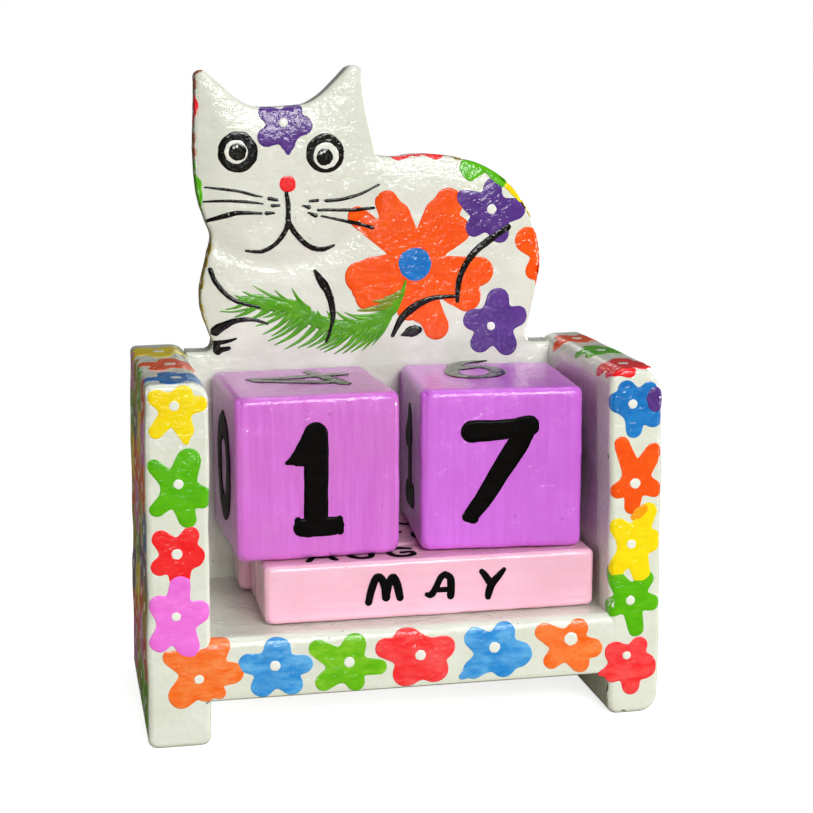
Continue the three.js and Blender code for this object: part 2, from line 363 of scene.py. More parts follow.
def flowerByPixels(paint, surface, lift, core, petals, dot=None, sides=96):
    # core, petals and dot are (x, y, radius) in the photograph
    centre, pixel = onFace(surface, core[:2])
    tips = []
    for tipX, tipY, radius in petals:
        full = radius * (paintShape["petalFullness"] if radius > paintShape["leastPetal"] else 1)
        inwards = Vector((core[0] - tipX, core[1] - tipY)).normalized() * (full - radius)
        tip, near = onFace(surface, (tipX + inwards.x, tipY + inwards.y))
        tips.append((tip - centre, full * near))
    radius = core[2] * paintShape["coreFullness"] * pixel
    layPaint("bench", paint, surface, blossom(centre, radius, tips, lift, sides=sides))
    if dot:
        discByPixels("white", surface, dot, lift + dotShape["lift"], dotShape["rings"], dotShape["sides"])


def lineByPixels(body, paint, surface, stroke, lift, ragged=0.05):
    # points are (x, y, half width) in the photograph
    points, widths = [], []
    for x, y, half in stroke:
        place, near = onFace(surface, (x, y))
        points.append(place)
        widths.append(half * near)
    layPaint(body, paint, surface, brushLine(points, widths, lift, ragged))


handFlower = {  # shares of the flower's size
    "petals": 5,
    "sway": 0.14,  # radians
    "reach": (0.62, 0.74),
    "tip": (0.27, 0.36),
    "core": 0.44,
    "dot": 0.17,
}


def flowerByHand(paint, surface, size, turn, lift=0.1, place=(0, 0)):
    # a flower of the same kind where the photograph shows none, in millimetres
    petals = []
    for i in range(handFlower["petals"]):
        angle = turn + i * math.tau / handFlower["petals"] + painterHand.uniform(-1, 1) * handFlower["sway"]
        reach = size * painterHand.uniform(*handFlower["reach"])
        tip = Vector((math.cos(angle), math.sin(angle))) * reach
        petals.append((tip, size * painterHand.uniform(*handFlower["tip"])))
    layPaint("bench", paint, surface, blossom(Vector(place), size * handFlower["core"], petals, lift))
    dot = blossom(Vector(place), size * handFlower["dot"], [], lift + dotShape["lift"], dotShape["rings"],
                  dotShape["sides"])
    layPaint("bench", "white", surface, dot)


def finishPiece(name, mesh, material, body, replaced=None, weighted=True):
    bmesh.ops.scale(mesh, vec=(millimetre,) * 3, verts=mesh.verts[:])
    data = bpy.data.meshes.new(name)
    mesh.to_mesh(data)
    mesh.free()
    piece = bpy.data.objects.new(name, data)
    bpy.context.scene.collection.objects.link(piece)
    data.materials.append(material)
    data.polygons.foreach_set("use_smooth", [True] * len(data.polygons))
    if weighted:
        piece.modifiers.new("evenShading", "WEIGHTED_NORMAL").keep_sharp = True
    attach(piece, body)
    if replaced:
        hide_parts(replaced)
    return piece


def linear(colour):
    # a colour as seen, 0 to 255, as the shares of light that a shader takes
    shares = [c / 255 for c in colour]
    return tuple(c / 12.92 if c <= 0.04045 else ((c + 0.055) / 1.055) ** 2.4 for c in shares) + (1,)


def addNode(tree, kind, sockets=None, **settings):
    # a socket gets its value, or is joined to another node's output
    node = tree.nodes.new(kind)
    for name, value in settings.items():
        setattr(node, name, value)
    for name, value in (sockets or {}).items():
        if isinstance(value, bpy.types.NodeSocket):
            tree.links.new(value, node.inputs[name])
        else:
            node.inputs[name].default_value = value
    return node


def newMaterial(name):
    material = bpy.data.materials.new(name)
    material.use_nodes = True
    return material, material.node_tree, material.node_tree.nodes["Principled BSDF"]


def brushedPaint(name, look):
    # brushed enamel: streaks along the brush, clouds in the coat, flecks, ridges, small pimples, and dabs
    # that only its gloss shows
    material, tree, shader = newMaterial(name)
    place = addNode(tree, "ShaderNodeTexCoord").outputs["Object"]
    along = addNode(tree, "ShaderNodeMapping", {"Vector": place, "Scale": look["streakScale"]})

    def pattern(scale, detail, roughness=0.5, distortion=0, at=place):
        return addNode(tree, "ShaderNodeTexNoise", {
            "Vector": at, "Scale": scale, "Detail": detail, "Roughness": roughness,
            "Distortion": distortion}).outputs["Fac"]

    def ranged(value, low, high, least=0, most=1):
        return addNode(tree, "ShaderNodeMapRange", {
            "Value": value, "From Min": low, "From Max": high, "To Min": least,
            "To Max": most}).outputs["Result"]

    def mixed(share, under, over):
        return addNode(tree, "ShaderNodeMix", {
            "Factor": share, "A": under, "B": linear(look[over])}, data_type="RGBA").outputs["Result"]

    def raised(height, depth, strength=1, under=None):
        sockets = {"Height": height, "Distance": look[depth] * millimetre, "Strength": strength}
        if under is not None:
            sockets["Normal"] = under
        return addNode(tree, "ShaderNodeBump", sockets).outputs["Normal"]

    streak = pattern(1, detail=4, roughness=0.6, at=along.outputs["Vector"])
    cloud = pattern(look["cloudScale"], detail=3)
    colour = mixed(ranged(streak, *look["streakRange"]), linear(look["colour"]), "streakColour")
    colour = mixed(ranged(cloud, *look["cloudRange"], most=look["cloudAmount"]), colour, "cloudColour")
    flecks = look["flecks"]
    fleck = ranged(pattern(look["fleckScale"], detail=2), flecks, flecks + look["fleckEdge"],
                   most=look["fleckAmount"])
    tree.links.new(mixed(fleck, colour, "fleckColour"), shader.inputs["Base Color"])
    tree.links.new(ranged(streak, 0, 1, *look["roughness"]), shader.inputs["Roughness"])
    normal = raised(cloud, "swell", under=raised(streak, "ridge"))
    normal = raised(pattern(look["pimpleScale"], detail=2, roughness=0.6), "pimple", under=normal)
    tree.links.new(normal, shader.inputs["Normal"])
    patches = ranged(pattern(look["patchScale"], detail=1), *look["patchRange"], least=look["patchLeast"])
    dabs = raised(pattern(look["dabScale"], detail=1, distortion=0.6), "dab", patches, under=normal)
    tree.links.new(dabs, shader.inputs["Coat Normal"])
    shader.inputs["Coat Weight"].default_value = look["coat"]
    shader.inputs["Coat Roughness"].default_value = look["coatRoughness"]
    shader.inputs["Specular IOR Level"].default_value = look["specular"]
    return material


enamelLook = {  # shared by the bench's glossy paints
    "streakScale": (260, 260, 620),
    "streakRange": (0.35, 0.68),
    "cloudScale": 190,
    "cloudRange": (0.35, 0.65),
    "cloudAmount": 0.5,
    "pimpleScale": 900,
    "roughness": (0.26, 0.44),
    "ridge": 0.1,
    "swell": 0.26,
    "pimple": 0.02,
    "dab": 0.34,
    "dabScale": 760,
    "coat": 0.8,
    "specular": 0.15,
    "flecks": 0.75,  # the lower, the more of them
    "fleckColour": (70, 60, 40),
    "fleckScale": 620,
    "fleckEdge": 0.04,
    "fleckAmount": 0.7,
    "patchScale": 75,  # where the dabs are stronger
    "patchRange": (0.35, 0.6),
    "patchLeast": 0.25,
    "coatRoughness": 0.07,
}
paintColours = {  # colour, paler or deeper streaks, cloud
    "white": ((240, 243, 232), (246, 248, 240), (232, 236, 222)),
    "yellow": ((255, 226, 0), (255, 238, 10), (252, 212, 0)),
    "green": ((84, 186, 0), (104, 200, 6), (72, 170, 0)),
    "red": ((252, 24, 34), (255, 56, 58), (244, 16, 30)),
    "magenta": ((248, 116, 230), (252, 134, 236), (242, 104, 226)),
    "orange": ((253, 82, 0), (255, 100, 14), (250, 74, 0)),
    "blue": ((0, 114, 196), (34, 142, 222), (0, 102, 182)),
    "purple": ((84, 46, 134), (100, 62, 150), (72, 36, 122)),
    "thin_red": ((252, 46, 52), (255, 96, 96), (250, 34, 44)),
    "thin_green": ((98, 190, 4), (146, 214, 48), (84, 178, 0)),
    "thin_blue": ((42, 146, 224), (112, 192, 244), (16, 126, 208)),
    "thin_orange": ((254, 108, 22), (255, 154, 84), (252, 92, 6)),
    "leaf": ((70, 152, 0), (98, 178, 6), (58, 138, 0)),
    # orange painted darker: painted shade for the cat's left edge, which is out of the light
    "russet": ((166, 78, 34), (190, 100, 50), (140, 62, 26)),
    "amber": ((255, 166, 0), (255, 178, 12), (250, 152, 0)),
    # yellow painted darker: painted shade on the cat's left edge and the arms' sides, also laid where the
    # light falls
    "olive": ((170, 146, 8), (190, 164, 20), (146, 122, 8)),
    "moss": ((118, 136, 10), (140, 156, 16), (96, 124, 6)),
    "black": ((7, 6, 6), (12, 11, 11), (5, 5, 5)),
    "bare": ((84, 66, 58), (98, 80, 66), (70, 54, 46)),
}
paints = {}
for paintName, (plain, streaky, cloudy) in paintColours.items():
    colours = {"colour": plain, "streakColour": streaky, "cloudColour": cloudy}
    shine = {"specular": 0.04} if paintName == "black" else {}
    paints[paintName] = brushedPaint(paintName + "_enamel", {**enamelLook, **colours, **shine})
boardWhite = brushedPaint("ivory_enamel", {
    **enamelLook, "colour": (230, 234, 220), "streakColour": (236, 240, 228), "cloudColour": (218, 223, 204),
    "streakScale": (120, 200, 420), "cloudScale": 120, "ridge": 0.12, "swell": 0.5})
paints["ink"] = brushedPaint("satin_black", {
    **enamelLook, "colour": (7, 6, 6), "streakColour": (14, 13, 13), "cloudColour": (5, 5, 5),
    "roughness": (0.4, 0.6), "coat": 0.05, "specular": 0.04, "dab": 0.1, "fleckColour": (60, 56, 56)})
blockLook = {**enamelLook, "roughness": (0.3, 0.5), "dab": 0.3, "specular": 0.3}
cubeLook = {**blockLook, "streakScale": (900, 900, 60), "cloudScale": 90}
cubePaints = {
    "day_cube_left": brushedPaint("orchid_paint", {
        **cubeLook, "colour": (214, 108, 218), "streakColour": (226, 124, 232),
        "cloudColour": (212, 118, 204), "flecks": 0.74, "fleckColour": (130, 50, 120)}),
    "day_cube_right": brushedPaint("violet_paint", {
        **cubeLook, "colour": (218, 110, 236), "streakColour": (228, 122, 248),
        "cloudColour": (214, 108, 230), "flecks": 0.73, "fleckColour": (130, 50, 140)}),
}
pinkPaint = brushedPaint("pink_paint", {
    **blockLook, "colour": (255, 194, 219), "streakColour": (255, 206, 228), "cloudColour": (252, 186, 208),
    "streakScale": (60, 600, 600), "cloudScale": 110, "flecks": 0.71, "fleckColour": (190, 110, 110)})
wireLook = {"dark": (168, 168, 164), "light": (204, 204, 200), "grain": 1800, "roughness": (0.25, 0.45)}


def drawnWire():
    material, tree, shader = newMaterial("drawn_wire")
    shader.inputs["Metallic"].default_value = 1
    place = addNode(tree, "ShaderNodeTexCoord").outputs["Object"]
    grain = addNode(tree, "ShaderNodeTexNoise", {
        "Vector": place, "Scale": wireLook["grain"], "Detail": 3}).outputs["Fac"]
    tone = addNode(tree, "ShaderNodeMix", {
        "Factor": grain, "A": linear(wireLook["dark"]), "B": linear(wireLook["light"])}, data_type="RGBA")
    tree.links.new(tone.outputs["Result"], shader.inputs["Base Color"])
    shine = addNode(tree, "ShaderNodeMapRange", {
        "Value": grain, "To Min": wireLook["roughness"][0], "To Max": wireLook["roughness"][1]})
    tree.links.new(shine.outputs["Result"], shader.inputs["Roughness"])
    return material


wire = drawnWire()
for nodeName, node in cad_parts.items():
    if "nail" in nodeName:
        node.data.materials.clear()
        node.data.materials.append(wire)
print("finishes made:", len(bpy.data.materials))

armBox = boxOf("left_arm")
frontY, backY = armBox[0].y, armBox[1].y
catFrontY = boxOf("cat_back_board")[0].y
armSizes = {
    "height": 82.6,
    "footSplay": 1.3,
    "rim": 1.3,
    "halfWidth": 58.6,
    "pointGap": 1.2,
    "waver": 0.35,
    "left": {"thickness": 14.2, "outerTop": 1.6, "innerTop": 4.2, "innerFoot": 2, "outerFoot": 2.4},
    "right": {"thickness": 12.7, "outerTop": 3.6, "innerTop": 4.1, "innerFoot": 2.4, "outerFoot": 4.8},
}


def armOutline(side):
    sizes = armSizes["left" if side < 0 else "right"]
    top, foot = armSizes["halfWidth"], armSizes["halfWidth"] + armSizes["footSplay"]
    height = armSizes["height"]
    corners = [
        (side * top, height, sizes["outerTop"]),
        (side * (top - sizes["thickness"]), height, sizes["innerTop"]),
        (side * (foot - sizes["thickness"]), 0, sizes["innerFoot"]),
        (side * foot, 0, sizes["outerFoot"]),
    ]
    if side < 0:
        corners.reverse()
    return waver(evenLine(roundedOutline(corners), armSizes["pointGap"]), armSizes["waver"])


# the right arm's outer top corner, in front
wornCorner = {"radius": 8.3, "fall": 9, "reach": 2, "power": 1.7}


def armRelief(x, z, inside):
    # the corner is rubbed round in front, so the face falls away towards it
    radius = wornCorner["radius"]
    fromCentre = Vector((x - armSizes["halfWidth"] + radius, z - armSizes["height"] + radius))
    if fromCentre.x <= 0 or fromCentre.y <= 0:
        return 0
    past = max(0, fromCentre.length - radius) / wornCorner["reach"]
    return wornCorner["fall"] * min(1, past) ** wornCorner["power"]


catShape = {
    "shoulderZ": 81.4,
    "height": 67.9,
    "width": 85.9,
    "middle": 0.75,
    "shoulderFillet": 1.6,
    "filletBend": (0.3, 0.4),
    "filletSteps": 5,
    "low": 10.3,
    "leftEarRadius": 1.6,
    "rightEarRadius": 2.2,
    "rim": 1.1,
    "crown": 1.2,  # how far the face falls back towards its edges
    "crownWidth": 8.5,
    "crownPower": 1.5,
    "grooveDepth": 0.7,  # hollow round the chin
    "grooveWidth": 2.2,
    "tuck": 0.9,  # how far the board reaches into the arms under the paint
    "pointGap": 0.9,
    "waver": 0.2,
    "grooveEnds": 14,  # points over which the groove runs out
}
rumpShares = [
    (0.462, 0.046), (0.47, 0.09), (0.484, 0.162), (0.496, 0.242), (0.5, 0.325), (0.488, 0.411),
    (0.458, 0.499), (0.406, 0.587), (0.343, 0.643), (0.272, 0.676), (0.205, 0.691),
    (0.132, 0.694), (0.072, 0.687), (0.02, 0.692),
]
napeShares = [(0.006, 0.757), (-0.008, 0.827), (-0.017, 0.892), (-0.021, 0.93)]
rightEarShare = (-0.026, 1.056)
crownShares = [
    (-0.095, 0.965), (-0.142, 0.91), (-0.19, 0.876), (-0.25, 0.868),
    (-0.31, 0.867), (-0.35, 0.877), (-0.388, 0.905), (-0.42, 0.94),
]
leftEarShare = (-0.4925, 1.02)
chestShares = [
    (-0.496, 0.9), (-0.5, 0.78), (-0.499, 0.65), (-0.491, 0.55), (-0.472, 0.464), (-0.457, 0.407),
    (-0.47, 0.335), (-0.484, 0.268), (-0.492, 0.206), (-0.487, 0.14), (-0.471, 0.078), (-0.46, 0.036),
]
chinLine = [  # (x, y) in the photograph
    (205, 228), (213, 239), (228, 252), (249, 260), (272, 263), (298, 261), (322, 254), (341, 243),
    (357, 229), (368, 210), (375, 190), (378, 172),
]


def catOutline():
    # shares are of the cat's width and height, from its middle and the shoulders of the board
    shoulderZ, fillet = catShape["shoulderZ"], catShape["shoulderFillet"]
    low, tuck = catShape["low"], catShape["tuck"]

    def point(share):
        return Vector((catShape["middle"] + share[0] * catShape["width"],
                       shoulderZ + share[1] * catShape["height"]))

    def shoulder(end, facing):
        # from the board's level top to the cat's outline
        across, up = catShape["filletBend"]
        return [Vector((end.x + facing * fillet, shoulderZ)),
                Vector((end.x + facing * fillet * across, shoulderZ + fillet * up)), end]

    rump, nape, crown, chest = (
        [point(share) for share in shares] for shares in (rumpShares, napeShares, crownShares, chestShares))
    splay = armSizes["footSplay"] * (1 - low / armSizes["height"])
    leftTop = -armSizes["halfWidth"] + armSizes["left"]["thickness"] - tuck
    rightTop = armSizes["halfWidth"] - armSizes["right"]["thickness"] + tuck
    outline = [Vector((leftTop - splay, low)), Vector((rightTop + splay, low))]
    outline.append(Vector((rightTop, shoulderZ)))
    steps, filletSteps = outlineShape["lineSteps"], catShape["filletSteps"]
    outline += smoothLine(shoulder(rump[0], 1), filletSteps)[:-1]
    outline += smoothLine(rump, steps)[:-1]
    outline += smoothLine([rump[-1]] + nape, steps)
    outline += roundedCorner(nape[-1], point(rightEarShare), crown[0], catShape["rightEarRadius"], steps)
    outline += smoothLine(crown, steps)
    outline += roundedCorner(crown[-1], point(leftEarShare), chest[0], catShape["leftEarRadius"], steps)
    outline += smoothLine(chest, steps)[:-1]
    outline += smoothLine(shoulder(chest[-1], -1)[::-1], filletSteps)
    outline.append(Vector((leftTop, shoulderZ)))
    return waver(evenLine(outline, catShape["pointGap"]), catShape["waver"])


plainCat = {"origin": Vector((0, catFrontY, 0)), "across": Vector((1, 0, 0)), "up": Vector((0, 0, 1))}
chinPoints = smoothLine([onFace(plainCat, pixel)[0] for pixel in chinLine], outlineShape["lineSteps"])
chinTree = kdtree.KDTree(len(chinPoints))
for i, chinPoint in enumerate(chinPoints):
    chinTree.insert((chinPoint.x, chinPoint.y, 0), i)
chinTree.balance()


def catRelief(x, z, inside):
    # the face is softly crowned, and a shallow hollow runs round the chin
    fall = 0
    if z > catShape["shoulderZ"] - catShape["crownWidth"]:
        share = max(0, 1 - inside / catShape["crownWidth"])
        fall = catShape["crown"] * share ** catShape["crownPower"]
        fall *= min(1, (z - catShape["shoulderZ"] + catShape["crownWidth"]) / catShape["crownWidth"])
    found, index, gap = chinTree.find((x, z, 0))
    ends = min(index, len(chinPoints) - 1 - index) / catShape["grooveEnds"]
    hollow = catShape["grooveDepth"] * math.exp(-(gap / catShape["grooveWidth"]) ** 2) * min(1, ends)
    return fall + hollow


railSizes = {
    "low": 10.3, "top": 24.6, "frontRadius": 2.2, "edge": 0.5, "rim": 0.5,
    "back": 1,  # how far the seat reaches behind the cat board's front
    "proud": 0.02,  # how far its front stays behind the arms'
    "tuck": 2.2,  # how far its ends reach into the arms under the paint
}
railFrontY, railBackY = frontY + railSizes["proud"], catFrontY + railSizes["back"]
railOutline = evenLine(roundedOutline([
    (railFrontY, railSizes["low"], railSizes["edge"]),
    (railBackY, railSizes["low"], 0),
    (railBackY, railSizes["top"], 0),
    (railFrontY, railSizes["top"], railSizes["frontRadius"]),
]), armSizes["pointGap"])

leftArm = makeBoard(armOutline(-1), frontY, backY, armSizes["rim"])
rightArm = makeBoard(armOutline(1), frontY, backY, armSizes["rim"], armRelief)
catBoard = makeBoard(catOutline(), catFrontY, backY, catShape["rim"], catRelief)
seatBox = boxOf("seat_board")
seatBoard = makeBoard(railOutline, seatBox[0].x - railSizes["tuck"], seatBox[1].x + railSizes["tuck"],
                      railSizes["rim"])
boardShape = {"rimSteps": 5, "cell": 5, "wornCell": 1.3, "faceCell": 1.6}


def spaced(low, high, gap):
    count = max(1, round((high - low) / gap))
    return [low + (high - low) * i / count for i in range(1, count)]


def boardMesh(board, cell, along="y"):
    # the outline is extruded, its rims are rounded by insets, and both its faces are cut into cells
    rim, near, far = board["rim"], board["near"], board["far"]

    def facesAt(level):
        return [f for f in mesh.faces if all(abs(v.co.y - level) < 0.001 for v in f.verts)]

    mesh = bmesh.new()
    front = mesh.faces.new([mesh.verts.new((p.x, near + rim, p.y)) for p in board["outline"]])
    moved = bmesh.ops.extrude_face_region(mesh, geom=[front])["geom"]
    back = [g for g in moved if isinstance(g, bmesh.types.BMFace)][0]
    bmesh.ops.translate(mesh, vec=(0, far - near - 2 * rim, 0),
                        verts=[g for g in moved if isinstance(g, bmesh.types.BMVert)])
    if not front.is_valid:
        front = facesAt(near + rim)[0]
    bmesh.ops.recalc_face_normals(mesh, faces=mesh.faces[:])
    steps = boardShape["rimSteps"]
    for cap in (front, back):
        for i in range(steps):
            start, end = (math.pi / 2 * k / steps for k in (i, i + 1))
            bmesh.ops.inset_region(mesh, faces=[cap], use_boundary=True, use_even_offset=True,
                                   thickness=rim * (math.cos(start) - math.cos(end)),
                                   depth=rim * (math.sin(end) - math.sin(start)))
    lowX, highX = (f(p.x for p in board["outline"]) for f in (min, max))
    lowZ, highZ = (f(p.y for p in board["outline"]) for f in (min, max))
    for level, gap in ((near, cell), (far, boardShape["cell"])):
        cuts = [((x, 0, 0), (1, 0, 0)) for x in spaced(lowX, highX, gap)]
        cuts += [((0, 0, z), (0, 0, 1)) for z in spaced(lowZ, highZ, gap)]
        for place, way in cuts:
            caps = facesAt(level)
            parts = list({e for f in caps for e in f.edges} | {v for f in caps for v in f.verts} | set(caps))
            bmesh.ops.bisect_plane(mesh, geom=parts, dist=0.01, plane_co=place, plane_no=way)
    for vertex in mesh.verts:
        if vertex.co.y < (near + far) / 2:
            inside = insideOf(board, vertex.co.x, vertex.co.z)[0]
            vertex.co.y += board["relief"](vertex.co.x, vertex.co.z, max(inside, rim))
    if along == "x":
        for vertex in mesh.verts:
            vertex.co = (vertex.co.y, vertex.co.x, vertex.co.z)
        bmesh.ops.recalc_face_normals(mesh, faces=mesh.faces[:])
    return mesh


paintedBoards = {  # board, size of its front's cells, the way it runs, the CAD node it replaces
    "painted_left_arm": (leftArm, boardShape["cell"], "y", "left_arm"),
    "painted_right_arm": (rightArm, boardShape["wornCell"], "y", "right_arm"),
    "painted_seat": (seatBoard, boardShape["cell"], "x", "seat_board"),
    "painted_cat_board": (catBoard, boardShape["faceCell"], "y", "cat_back_board"),
}
for boardName, (board, cell, along, replacedNode) in paintedBoards.items():
    finishPiece(boardName, boardMesh(board, cell, along), boardWhite, "bench", replacedNode)
print("boards made")

benchFront = {"origin": Vector((0, frontY, 0)), "across": Vector((1, 0, 0)), "up": Vector((0, 0, 1))}
leftFront, rightFront, catFace = faceOf(leftArm), faceOf(rightArm), faceOf(catBoard)


def railPoint(a, b, h):
    # the rail's front, whose flowers fold over its rounded upper edge
    radius = railSizes["frontRadius"]
    past = b - (railSizes["top"] - radius)
    if past <= 0:
        return Vector((a, frontY - h, b))
    proud, around, beyond = folded(radius, past, h)
    return Vector((a, frontY + radius - proud + beyond, railSizes["top"] - radius + around))


railFront = {**benchFront, "point": railPoint}
lifts = {  # how proud the paint stands, millimetres
    "under": 0.08, "over": 0.14, "patch": 0.2,  # the front's flowers, and what lies over them
    "bigFlower": 0.1, "disc": 0.2, "cat": 0.16, "rim": 0.08,
    "eye": 0.12, "eyeLayer": 0.07, "glint": 0.31, "nose": 0.18, "line": 0.27,
    "stem": 0.19, "moss": 0.2, "barb": 0.17,
    "side": 0.07, "sideLayer": 0.025, "figure": 0.07, "chip": 0.16,
}

leftArmFlowers = [  # paint, coat, core, petals, dot: (x, y, radius) in the photograph
    ("yellow", "under", (175, 408, 14), [(155, 397.5, 7.5), (184, 393, 8), (201, 403.8, 7),
        (155.4, 432.3, 6.7), (185.5, 431, 8), (185.7, 440, 3.5)], (174.1, 406, 5.3)),
    ("green", "over", (178.4, 490, 14.5), [(189.1, 459.2, 11.2), (203.4, 498, 9.6), (187.8, 520.4, 8),
        (156.5, 510.5, 6.8), (153.4, 466, 6.6)], (178.4, 484.2, 5.5)),
    ("red", "under", (178.4, 556, 15), [(159.6, 538.2, 8), (190.9, 534.6, 7.9), (194.5, 556, 10.3),
        (158.7, 567.7, 8), (179.8, 580.4, 9)], (177, 554.3, 5.7)),
    ("magenta", "over", (175.7, 621.2, 15.5), [(180.3, 581.9, 9), (158.4, 605.4, 9.5), (200.2, 611, 10.5),
        (158.9, 643.7, 9), (189, 647.8, 10.3)], (176.2, 616.6, 5.1)),
]
rightArmFlowers = [  # as on the left arm
    ("blue", "under", (635, 404.8, 12), [(626, 387.9, 8), (650, 388.8, 7), (617, 402, 9.4),
        (634, 430.7, 7.5), (654.6, 418.2, 9)], (632.8, 403.9, 5)),
    ("orange", "under", (635.7, 481.2, 12.5), [(621.4, 443.5, 7.2), (654.1, 450.6, 8), (617, 491.4, 7.2),
        (655.1, 489.4, 7.4), (631.6, 507.8, 7)], (635.2, 483.3, 5.7)),
    ("green", "under", (630.7, 598.4, 13), [(611, 573, 7.5), (646.8, 577.9, 7), (652.1, 602.9, 7.4),
        (636, 629.5, 7.2), (605.6, 610.6, 8)], (630.3, 600.2, 5)),
    ("red", "under", (615, 367, 7), [(601, 368.5, 5.8), (630.5, 370.8, 6.4), (622, 366, 6)]),
    ("yellow", "over", (633.7, 542.4, 14), [(649, 509.8, 8), (617.3, 526.1, 8), (651, 540.4, 10.5),
        (616, 569, 8), (641.4, 575, 8.4)], (631.1, 544, 5.1)),
]
railFlowers = [  # as on the left arm
    ("thin_orange", "under", (201.2, 675.3, 16), [(171.6, 657, 8.5), (218.6, 645, 11), (233.9, 673.3, 10),
        (180.8, 696.7, 12), (206, 695, 7), (220.5, 693.5, 5.5)], (199.2, 679.4, 5)),
    ("thin_green", "under", (346.5, 665.5, 13.5), [(317, 648, 8.4), (354.9, 643.8, 10.5), (380, 667, 7),
        (323.3, 682.8, 8.2), (356.3, 682.8, 8.2)], (349.3, 662, 5.7)),
    ("thin_blue", "under", (275.6, 667.6, 13), [(247.5, 663.4, 9), (277.7, 648, 12), (304.4, 664.1, 8.6),
        (261.6, 687.4, 10), (293.1, 685.3, 9.6)], (275.3, 665.8, 5.6)),
    ("thin_red", "over", (418, 657.1, 18), [(384.3, 648, 9.4), (406.1, 638.9, 12.5), (444.7, 646.6, 10.8),
        (436.3, 670, 12), (405.4, 674.5, 12)], (420.5, 655, 5.9)),
    ("thin_blue", "under", (496, 652.4, 16), [(473.7, 637.3, 9.8), (504.6, 630.8, 10),
        (521.5, 654.5, 11.4), (472.5, 669.9, 9), (463, 676, 3), (504.6, 667.6, 10)], (494.5, 647.3, 6)),
    ("thin_orange", "under", (567.7, 645.2, 13), [(543.3, 631.5, 8.4), (579.2, 627.2, 8.8),
        (594, 648, 8.8), (551.2, 661, 7.6), (580.6, 664.3, 8.4)], (570.9, 638.7, 7.2)),
    ("thin_red", "over", (629.4, 662.4, 13.5), [(614.3, 651.6, 10), (639.5, 643.7, 7.6),
        (645.2, 666.7, 11.5), (630.8, 687.2, 8), (612.2, 672.9, 9), (601.3, 673, 3)], (626.5, 655.2, 4.6)),
]
frontFlowers = ((leftFront, leftArmFlowers), (rightFront, rightArmFlowers), (railFront, railFlowers))
for surface, flowers in frontFlowers:
    for paintName, level, *flower in flowers:
        flowerByPixels(paintName, surface, lifts[level], *flower)

patches = [  # amber where yellow thinly covers an orange petal, and the purple petal over the blue flower
    ("amber", (638.5, 513.5, 4.5), [(644, 508.5, 4.4), (633.5, 517, 3)]),
    ("purple", (655.5, 399, 7.5), [(655, 393.5, 6.6), (656, 405.5, 6.6)]),
]
for paintName, core, petals in patches:
    flowerByPixels(paintName, rightFront, lifts["patch"], core, petals)

bigFlower = {  # (x, y, radius) in the photograph
    "core": (415, 264.2, 8),
    "petals": [
        (357, 216.2, 9), (384, 230, 10.5), (386.6, 202.4, 10), (396.5, 215, 12), (401, 228, 12.2),
        (449.5, 202, 12.2), (438.4, 212, 12), (431.4, 228, 11), (457.4, 229, 12.6),
        (480.6, 271, 12.4), (464, 274, 11.6), (468, 297.6, 12.2), (455, 292, 11.6),
        (436.6, 327.6, 11.2), (427, 312, 11), (408.6, 309.6, 11.2), (414, 296, 9.8),
        (358.5, 277.5, 13), (372, 272, 13), (386, 268, 11), (367, 299, 10.8), (380, 288, 10.6),
    ],
    "sides": 288,
}
bigFlowerMiddle = (415, 264.2, 17.4)
flowerByPixels("orange", catFace, lifts["bigFlower"], **bigFlower)
discByPixels("blue", catFace, bigFlowerMiddle, lifts["disc"])

catFlowers = [  # paint, core, petals, dot
    ("purple", (491, 213, 15), [(493.2, 187, 8.2), (517.4, 209, 9.4), (500, 234, 8.8), (473, 228.5, 8),
        (463.5, 197.4, 6.6), (472, 202, 10)], (491.5, 209.2, 5.4)),
    ("purple", (494.8, 323, 15), [(498, 298, 10.2), (519.4, 315.9, 9), (472.4, 319.3, 9.4),
        (479.6, 343.6, 9), (507.4, 345.8, 9.6)], (490.8, 325.9, 4.6)),
    ("purple", (285.6, 127, 12.4), [(266.8, 111.9, 7.8), (294, 109.4, 8), (304.4, 125, 8.4),
        (265.8, 138, 8.4), (287.8, 139, 8), (288, 145, 5.6), (288.2, 151.5, 2.4)], (283.7, 122.5, 4.8)),
    ("orange", (543, 254, 8), [(527, 239, 11.5), (534, 272, 8), (553, 236, 8), (556, 261, 8),
        (547, 284, 8)]),
    ("green", (488, 163, 6.5), [(467.5, 167.5, 7.6), (470.8, 176.4, 4.5), (480, 163, 8), (503, 180, 7),
        (498, 170, 7)]),
    ("yellow", (516, 191.5, 4), [(508.5, 185.8, 3.4), (521.5, 200, 3)]),
    ("red", (419, 144, 6), [(399, 152, 8), (438, 151, 8), (413, 134, 6), (430, 134, 6)]),
    ("red", (188, 105, 5), [(192, 105, 6.6), (189, 98, 5)]),
    ("green", (189, 191, 7), [(194, 185, 8), (194.6, 197, 8.4)]),
]
for paintName, *flower in catFlowers:
    flowerByPixels(paintName, catFace, lifts["cat"], *flower)
catRimFlowers = [  # paint, place on the cat's outline, turn
    # the darker orange here is painted shade on the cat's left edge
    ("russet", (-41.5, 147), 0.3), ("red", (-41.5, 138.4), 0.8), ("russet", (-41.5, 131), 0.1),
    # the darker yellow on this edge is painted shade too
    ("green", (-41.5, 125), 0.2), ("green", (-41.4, 118), 0.9), ("olive", (-41, 105), 0.4),
    ("olive", (-40, 98), 1), ("olive", (-40.4, 91), 0.6), ("red", (11, 128), 0.3),
    ("olive", (22, 127), 0.8), ("green", (32, 121.6), 0.5), ("yellow", (38.6, 114), 0.2),
    ("orange", (43.4, 101), 0.6),
]
catRim = {"depth": 4.5, "size": 4.1}
for paintName, (x, z), turn in catRimFlowers:
    flowerByHand(paintName, edgeOf(catBoard, x, z, catRim["depth"]), catRim["size"], turn, lifts["rim"])
print("flowers laid")

